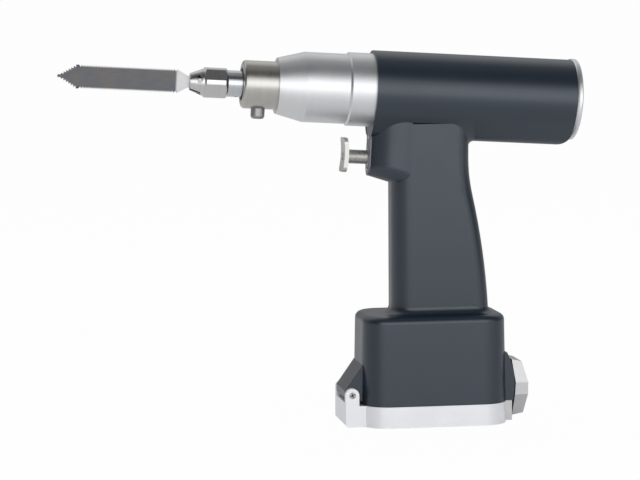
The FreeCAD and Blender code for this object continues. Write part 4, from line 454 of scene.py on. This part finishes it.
HINGE_LINE = Vector((-0.0491, 0, 0.0184))
HINGE_HALF = 0.0183
CROSS_TURN = radians(20)
pin_mesh = bmesh.new()
for side in (-1, 1):
    half_pin = bmesh.new()
    cross_headed(half_pin, radius=0.00195, bottom=0.0, top=HINGE_HALF, bevel=0.0003,
                 arm=0.0015, half_slot=0.0003, depth=0.0009)
    pin_turn = Matrix.Rotation(-side * pi / 2, 4, "X") @ Matrix.Rotation(CROSS_TURN, 4, "Z")
    bmesh.ops.transform(half_pin, matrix=Matrix.Translation(HINGE_LINE) @ pin_turn, verts=half_pin.verts)
    inner_ends = [face for face in half_pin.faces
                  if abs(face.calc_center_median().y) < ON_PLANE and abs(face.normal.y) > 0.99]
    bmesh.ops.delete(half_pin, geom=inner_ends, context="FACES")
    merged(pin_mesh, half_pin)
# The hinge pin's finish turns near black below the rim of each cross recess: painted shade in the recesses.
RECESS_SHADE_START = 0.0001
RECESS_SHADE_FULL = 0.0006
pin_head_with_painted_shade = Finish("pin_head_with_painted_shade", Metallic=1.0)
from_middle = pin_head_with_painted_shade.apart(pin_head_with_painted_shade.place)[1].math("ABSOLUTE")
painted_recess_shade = pin_head_with_painted_shade.spread(from_middle, HINGE_HALF - RECESS_SHADE_FULL, HINGE_HALF - RECESS_SHADE_START)
pin_head_with_painted_shade.wear(Base_Color=pin_head_with_painted_shade.blend(painted_recess_shade, (0.03, 0.03, 0.03), (0.50, 0.50, 0.50)),
              Roughness=pin_head_with_painted_shade.spread(pin_head_with_painted_shade.noise(1800.0), 0.3, 0.7, 0.24, 0.4))
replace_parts(placed("hinge_pin_with_recess", pin_mesh, pin_head_with_painted_shade, "lid"), "hinge_pin")
laid_on(screw_steel, "plate_screws", "hinge_pin", "latch_pin")

# Rear cap: a shallow dome turned from aluminium that closes the barrel, nearly as wide as the tube's
# end. The spigot and the bearing's hub stay as they are, and what stands behind the tube is widened.
CAP_WIDER = 23.4 / 21.0
CAP_HIGHER = 0.0022
ON_SEAT = 1e-5
in_barrel = [BARREL.inverted() @ v.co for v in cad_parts["housing"].data.vertices]
tube_rear = max(place.x for place in in_barrel if place.z > 0)
cap_mesh = bmesh.new()
cap_mesh.from_mesh(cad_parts["rear_cap"].data)
bmesh.ops.remove_doubles(cap_mesh, verts=cap_mesh.verts, dist=1e-6)
bmesh.ops.transform(cap_mesh, matrix=BARREL.inverted(), verts=cap_mesh.verts)
seat_radius = min(v.co.yz.length for v in cap_mesh.verts if abs(v.co.x - tube_rear) < ON_SEAT)
for v in cap_mesh.verts:
    behind = v.co.x > tube_rear + ON_SEAT
    on_seat = abs(v.co.x - tube_rear) < ON_SEAT and v.co.yz.length > seat_radius + ON_SEAT
    if behind or on_seat:
        v.co = Vector((v.co.x + CAP_HIGHER * behind, v.co.y * CAP_WIDER, v.co.z * CAP_WIDER))
bmesh.ops.transform(cap_mesh, matrix=BARREL, verts=cap_mesh.verts)
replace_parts(placed("rear_cap_full_width", cap_mesh, bright, "root", 30.0), "rear_cap")

# Soft blends of the casting: where the grip meets the battery box and the barrel, the metal runs
# round in a hollow curve. Each blend is a band that touches both surfaces and dips into them.
casting = bmesh.new()
casting.from_mesh(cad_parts["housing"].data)
casting_skin = BVHTree.FromBMesh(casting)
casting.free()
BLEND_RADIUS = 0.0042
BLEND_STEPS = 8
SUNK = 0.0004
LEAST_BLEND = 0.0004
BLEND_TURN = radians(3)


def way_round(k):
    """The k-th level direction away from the grip's middle, counted from straight back."""
    return Vector((cos(k * BLEND_TURN), sin(k * BLEND_TURN), 0))


def wall_of_grip(way, height):
    """Where the grip's outside is, looked for from outside, and which way it faces."""
    place, normal = casting_skin.ray_cast(Vector((0, 0, height)) + way * 0.08, -way)[:2]
    return place, Vector((normal.x, normal.y, 0)).normalized()


def blend_row(bm, way, height, facing, radius):
    """One section of a band between the grip's wall and the surface above (1) or below (-1) it."""
    wall, outward = wall_of_grip(way, height)
    row = []
    for step in range(BLEND_STEPS + 1):
        turn = pi / 2 * step / BLEND_STEPS
        out = radius * (1 - cos(turn))
        under = wall + outward * max(out, LEAST_BLEND)
        surface = casting_skin.ray_cast(under, Vector((0, 0, facing)))[0]
        level = surface.z - facing * radius * (1 - sin(turn))
        row.append(Vector((wall.x, wall.y, level)) + outward * out)
    inward, onward = -outward * SUNK, Vector((0, 0, facing * SUNK))
    row += [row[-1] + onward, Vector((wall.x, wall.y, row[-1].z)) + inward + onward, row[0] + inward]
    return [bm.verts.new(place) for place in row]


def joined(bm, rows, closed):
    """Faces between neighbouring sections, and across both ends of an open band."""
    for this, following in zip(rows, rows[1:] + rows[:1] if closed else rows[1:]):
        for i, corner in enumerate(this):
            after = (i + 1) % len(this)
            bm.faces.new((corner, this[after], following[after], following[i]))
    if not closed:
        bm.faces.new(rows[0])
        bm.faces.new(rows[-1])


FOOT_HEIGHT = 0.0685
foot_mesh = bmesh.new()
foot_rows = [blend_row(foot_mesh, way_round(k), FOOT_HEIGHT, -1, BLEND_RADIUS)
             for k in range(round(2 * pi / BLEND_TURN))]
joined(foot_mesh, foot_rows, True)
placed("grip_foot_blend", foot_mesh, anodised, "root")

HEAD_HEIGHT = 0.1560
HEAD_HALF = 20
HEAD_FADE = 8
head_mesh = bmesh.new()
head_rows = []
for k in range(-HEAD_HALF, HEAD_HALF + 1):
    fade = min(1.0, (HEAD_HALF - abs(k)) / HEAD_FADE)
    head_radius = max(BLEND_RADIUS * fade, LEAST_BLEND)
    head_rows.append(blend_row(head_mesh, way_round(k), HEAD_HEIGHT, 1, head_radius))
joined(head_mesh, head_rows, False)
placed("grip_head_blend", head_mesh, anodised, "root")

# Lid, its catch and the latch: the lid is an aluminium casting, bead blasted and clear anodised to a
# pale satin, that swings on its ears. The latch, machined and greyer, holds its catch behind.
satin = Finish("lid_metal", Metallic=0.45)
beads = satin.noise(2200.0, 3.0)
film = satin.noise(60.0, 4.0)
blasted = satin.spread(beads * 0.5 + film * 0.5, 0.32, 0.68)
satin.wear(Base_Color=satin.blend(blasted, (0.84, 0.85, 0.88), (0.93, 0.94, 0.97)),
           Roughness=satin.spread(beads * 0.7 + film * 0.3, 0.3, 0.7, 0.34, 0.44))
raised(satin, beads, 0.00002, 0.35)
laid_on(satin, "lid")
laid_on(turned_metal("latch_metal", (0.54, 0.54, 0.55), (0.62, 0.62, 0.63), 0.33),
        "latch_lever", "lid_catch")


# Drive inside the nose and barrel: hardened and ground steel for the cam, its follower, the
# shaft and the bearings, with a thin film of grease.
def ground_steel(name, dark, pale, rough):
    """Plain machined steel with a film of oil in patches."""
    finish = Finish(name, Metallic=1.0)
    tool = finish.noise(1500.0, 3.0)
    patches = finish.noise(140.0, 3.0)
    finish.wear(Base_Color=finish.blend(finish.spread(tool * 0.5 + patches * 0.5, 0.3, 0.7), dark, pale),
                Roughness=finish.spread(patches, 0.3, 0.7, rough - 0.06, rough + 0.08))
    return raised(finish, tool, 0.000006, 0.4)


laid_on(ground_steel("inner_steel", (0.42, 0.42, 0.43), (0.56, 0.56, 0.57), 0.26),
        "follower_pin", "follower_roller", "cam_drum", "rotor_shaft", "front_bearing", "rear_bearing",
        "trigger_clip")
laid_on(ground_steel("spring_wire", (0.30, 0.30, 0.32), (0.48, 0.48, 0.50), 0.30),
        "lock_spring", "trigger_spring", "latch_spring")

# Bronze and brass: the sintered bush of the spindle, and the pins and terminals of the battery.
bronze = Finish("bronze", Metallic=1.0)
cells = {"Vector": bronze.place, "Scale": 3200.0}
pores = bronze.node("ShaderNodeTexVoronoi", {"feature": "F1"}, cells).read()
bronze.wear(Base_Color=bronze.blend(bronze.spread(pores, 0.1, 0.5), (0.30, 0.19, 0.08), (0.60, 0.42, 0.20)),
            Roughness=bronze.spread(pores, 0.0, 0.6, 0.48, 0.30))
laid_on(bronze, "spindle_bush", "contact_pins", "battery_terminals")

# Motor: a core of thin steel sheets, windings of enamelled copper wire and a plated magnet.
SHEET_THICKNESS = 0.0005
lamination = Finish("lamination", Metallic=0.85)
sheets_along = lamination.apart(barrel_place(lamination))[0]
sheets = (sheets_along * (2 * pi / SHEET_THICKNESS)).math("SINE")
edge_or_face = lamination.spread(sheets, -1.0, 1.0)
lamination.wear(Base_Color=lamination.blend(edge_or_face, (0.10, 0.10, 0.105), (0.26, 0.26, 0.27)),
                Roughness=lamination.spread(sheets, -1.0, 1.0, 0.55, 0.4))
raised(lamination, sheets, 0.00001, 0.5)
laid_on(lamination, "stator_core")
copper = Finish("copper", Metallic=0.9, Coat_Weight=0.6)
wires = lathe_rings(copper, 2600.0, 900.0)
# Dark brown where the noise marks the gaps between turns of wire: painted shade between the wires.
wire_or_painted_gap_shade = copper.spread(wires, 0.35, 0.65)
copper.wear(Base_Color=copper.blend(wire_or_painted_gap_shade, (0.26, 0.07, 0.025), (0.66, 0.27, 0.11)),
            Roughness=copper.spread(wires, 0.3, 0.7, 0.45, 0.25))
raised(copper, wires, 0.0001, 0.6)
laid_on(copper, "motor_windings")
magnet = Finish("magnet", Metallic=0.9)
plating = magnet.noise(500.0, 4.0)
magnet.wear(Base_Color=magnet.blend(plating, (0.13, 0.13, 0.14), (0.24, 0.24, 0.25)),
            Roughness=magnet.spread(plating, 0.3, 0.7, 0.3, 0.45))
laid_on(magnet, "rotor_magnet", "trigger_magnet")

# Seals and leads: soft black rubber for the seals and the battery pad, and silicone on the leads.
rubber = Finish("seal_rubber", IOR=1.5)
bloom = rubber.noise(400.0, 4.0)
rubber.wear(Base_Color=rubber.blend(bloom, (0.016, 0.016, 0.017), (0.034, 0.034, 0.036)),
            Roughness=rubber.spread(bloom, 0.3, 0.7, 0.55, 0.72))
raised(rubber, bloom, 0.00003, 0.3)
laid_on(rubber, "spindle_seal", "rear_cap_seal", "lid_gasket", "battery_pad")
silicone = Finish("lead_silicone", IOR=1.45)
sheen = silicone.noise(700.0, 3.0)
silicone.wear(Base_Color=silicone.blend(sheen, (0.20, 0.012, 0.010), (0.30, 0.022, 0.018)),
              Roughness=silicone.spread(sheen, 0.3, 0.7, 0.4, 0.52))
laid_on(silicone, "motor_leads")

# Circuit boards: glass cloth under green lacquer, with black moulded parts on them.
WEAVE = 9000.0
lacquer = Finish("circuit_board", IOR=1.5, Coat_Weight=0.5)
weave_x, _, weave_z = lacquer.apart(lacquer.place)
cloth = (weave_x * WEAVE).math("SINE") * (weave_z * WEAVE).math("SINE")
threads = lacquer.spread(cloth, -1.0, 1.0)
lacquer.wear(Base_Color=lacquer.blend(threads, (0.012, 0.085, 0.032), (0.022, 0.13, 0.05)),
             Roughness=lacquer.spread(lacquer.noise(300.0), 0.3, 0.7, 0.3, 0.42))
laid_on(lacquer, "sensor_board", "control_board")
moulded = Finish("black_plastic", IOR=1.48)
texture = moulded.noise(1900.0, 3.0)
moulded.wear(Base_Color=moulded.blend(texture, (0.014, 0.014, 0.016), (0.026, 0.026, 0.029)),
             Roughness=moulded.spread(texture, 0.3, 0.7, 0.42, 0.56))
raised(moulded, texture, 0.00003, 0.3)
laid_on(moulded, "board_parts", "contact_block")

# Battery: a closed pack in grey moulded plastic with a fine spark-eroded texture.
case = Finish("battery_case", IOR=1.5)
eroded = case.noise(1500.0, 4.0, 0.6)
case.wear(Base_Color=case.blend(eroded, (0.085, 0.086, 0.092), (0.14, 0.14, 0.15)),
          Roughness=case.spread(eroded, 0.3, 0.7, 0.5, 0.64))
raised(case, eroded, 0.00005, 0.35)
laid_on(case, "battery_pack")
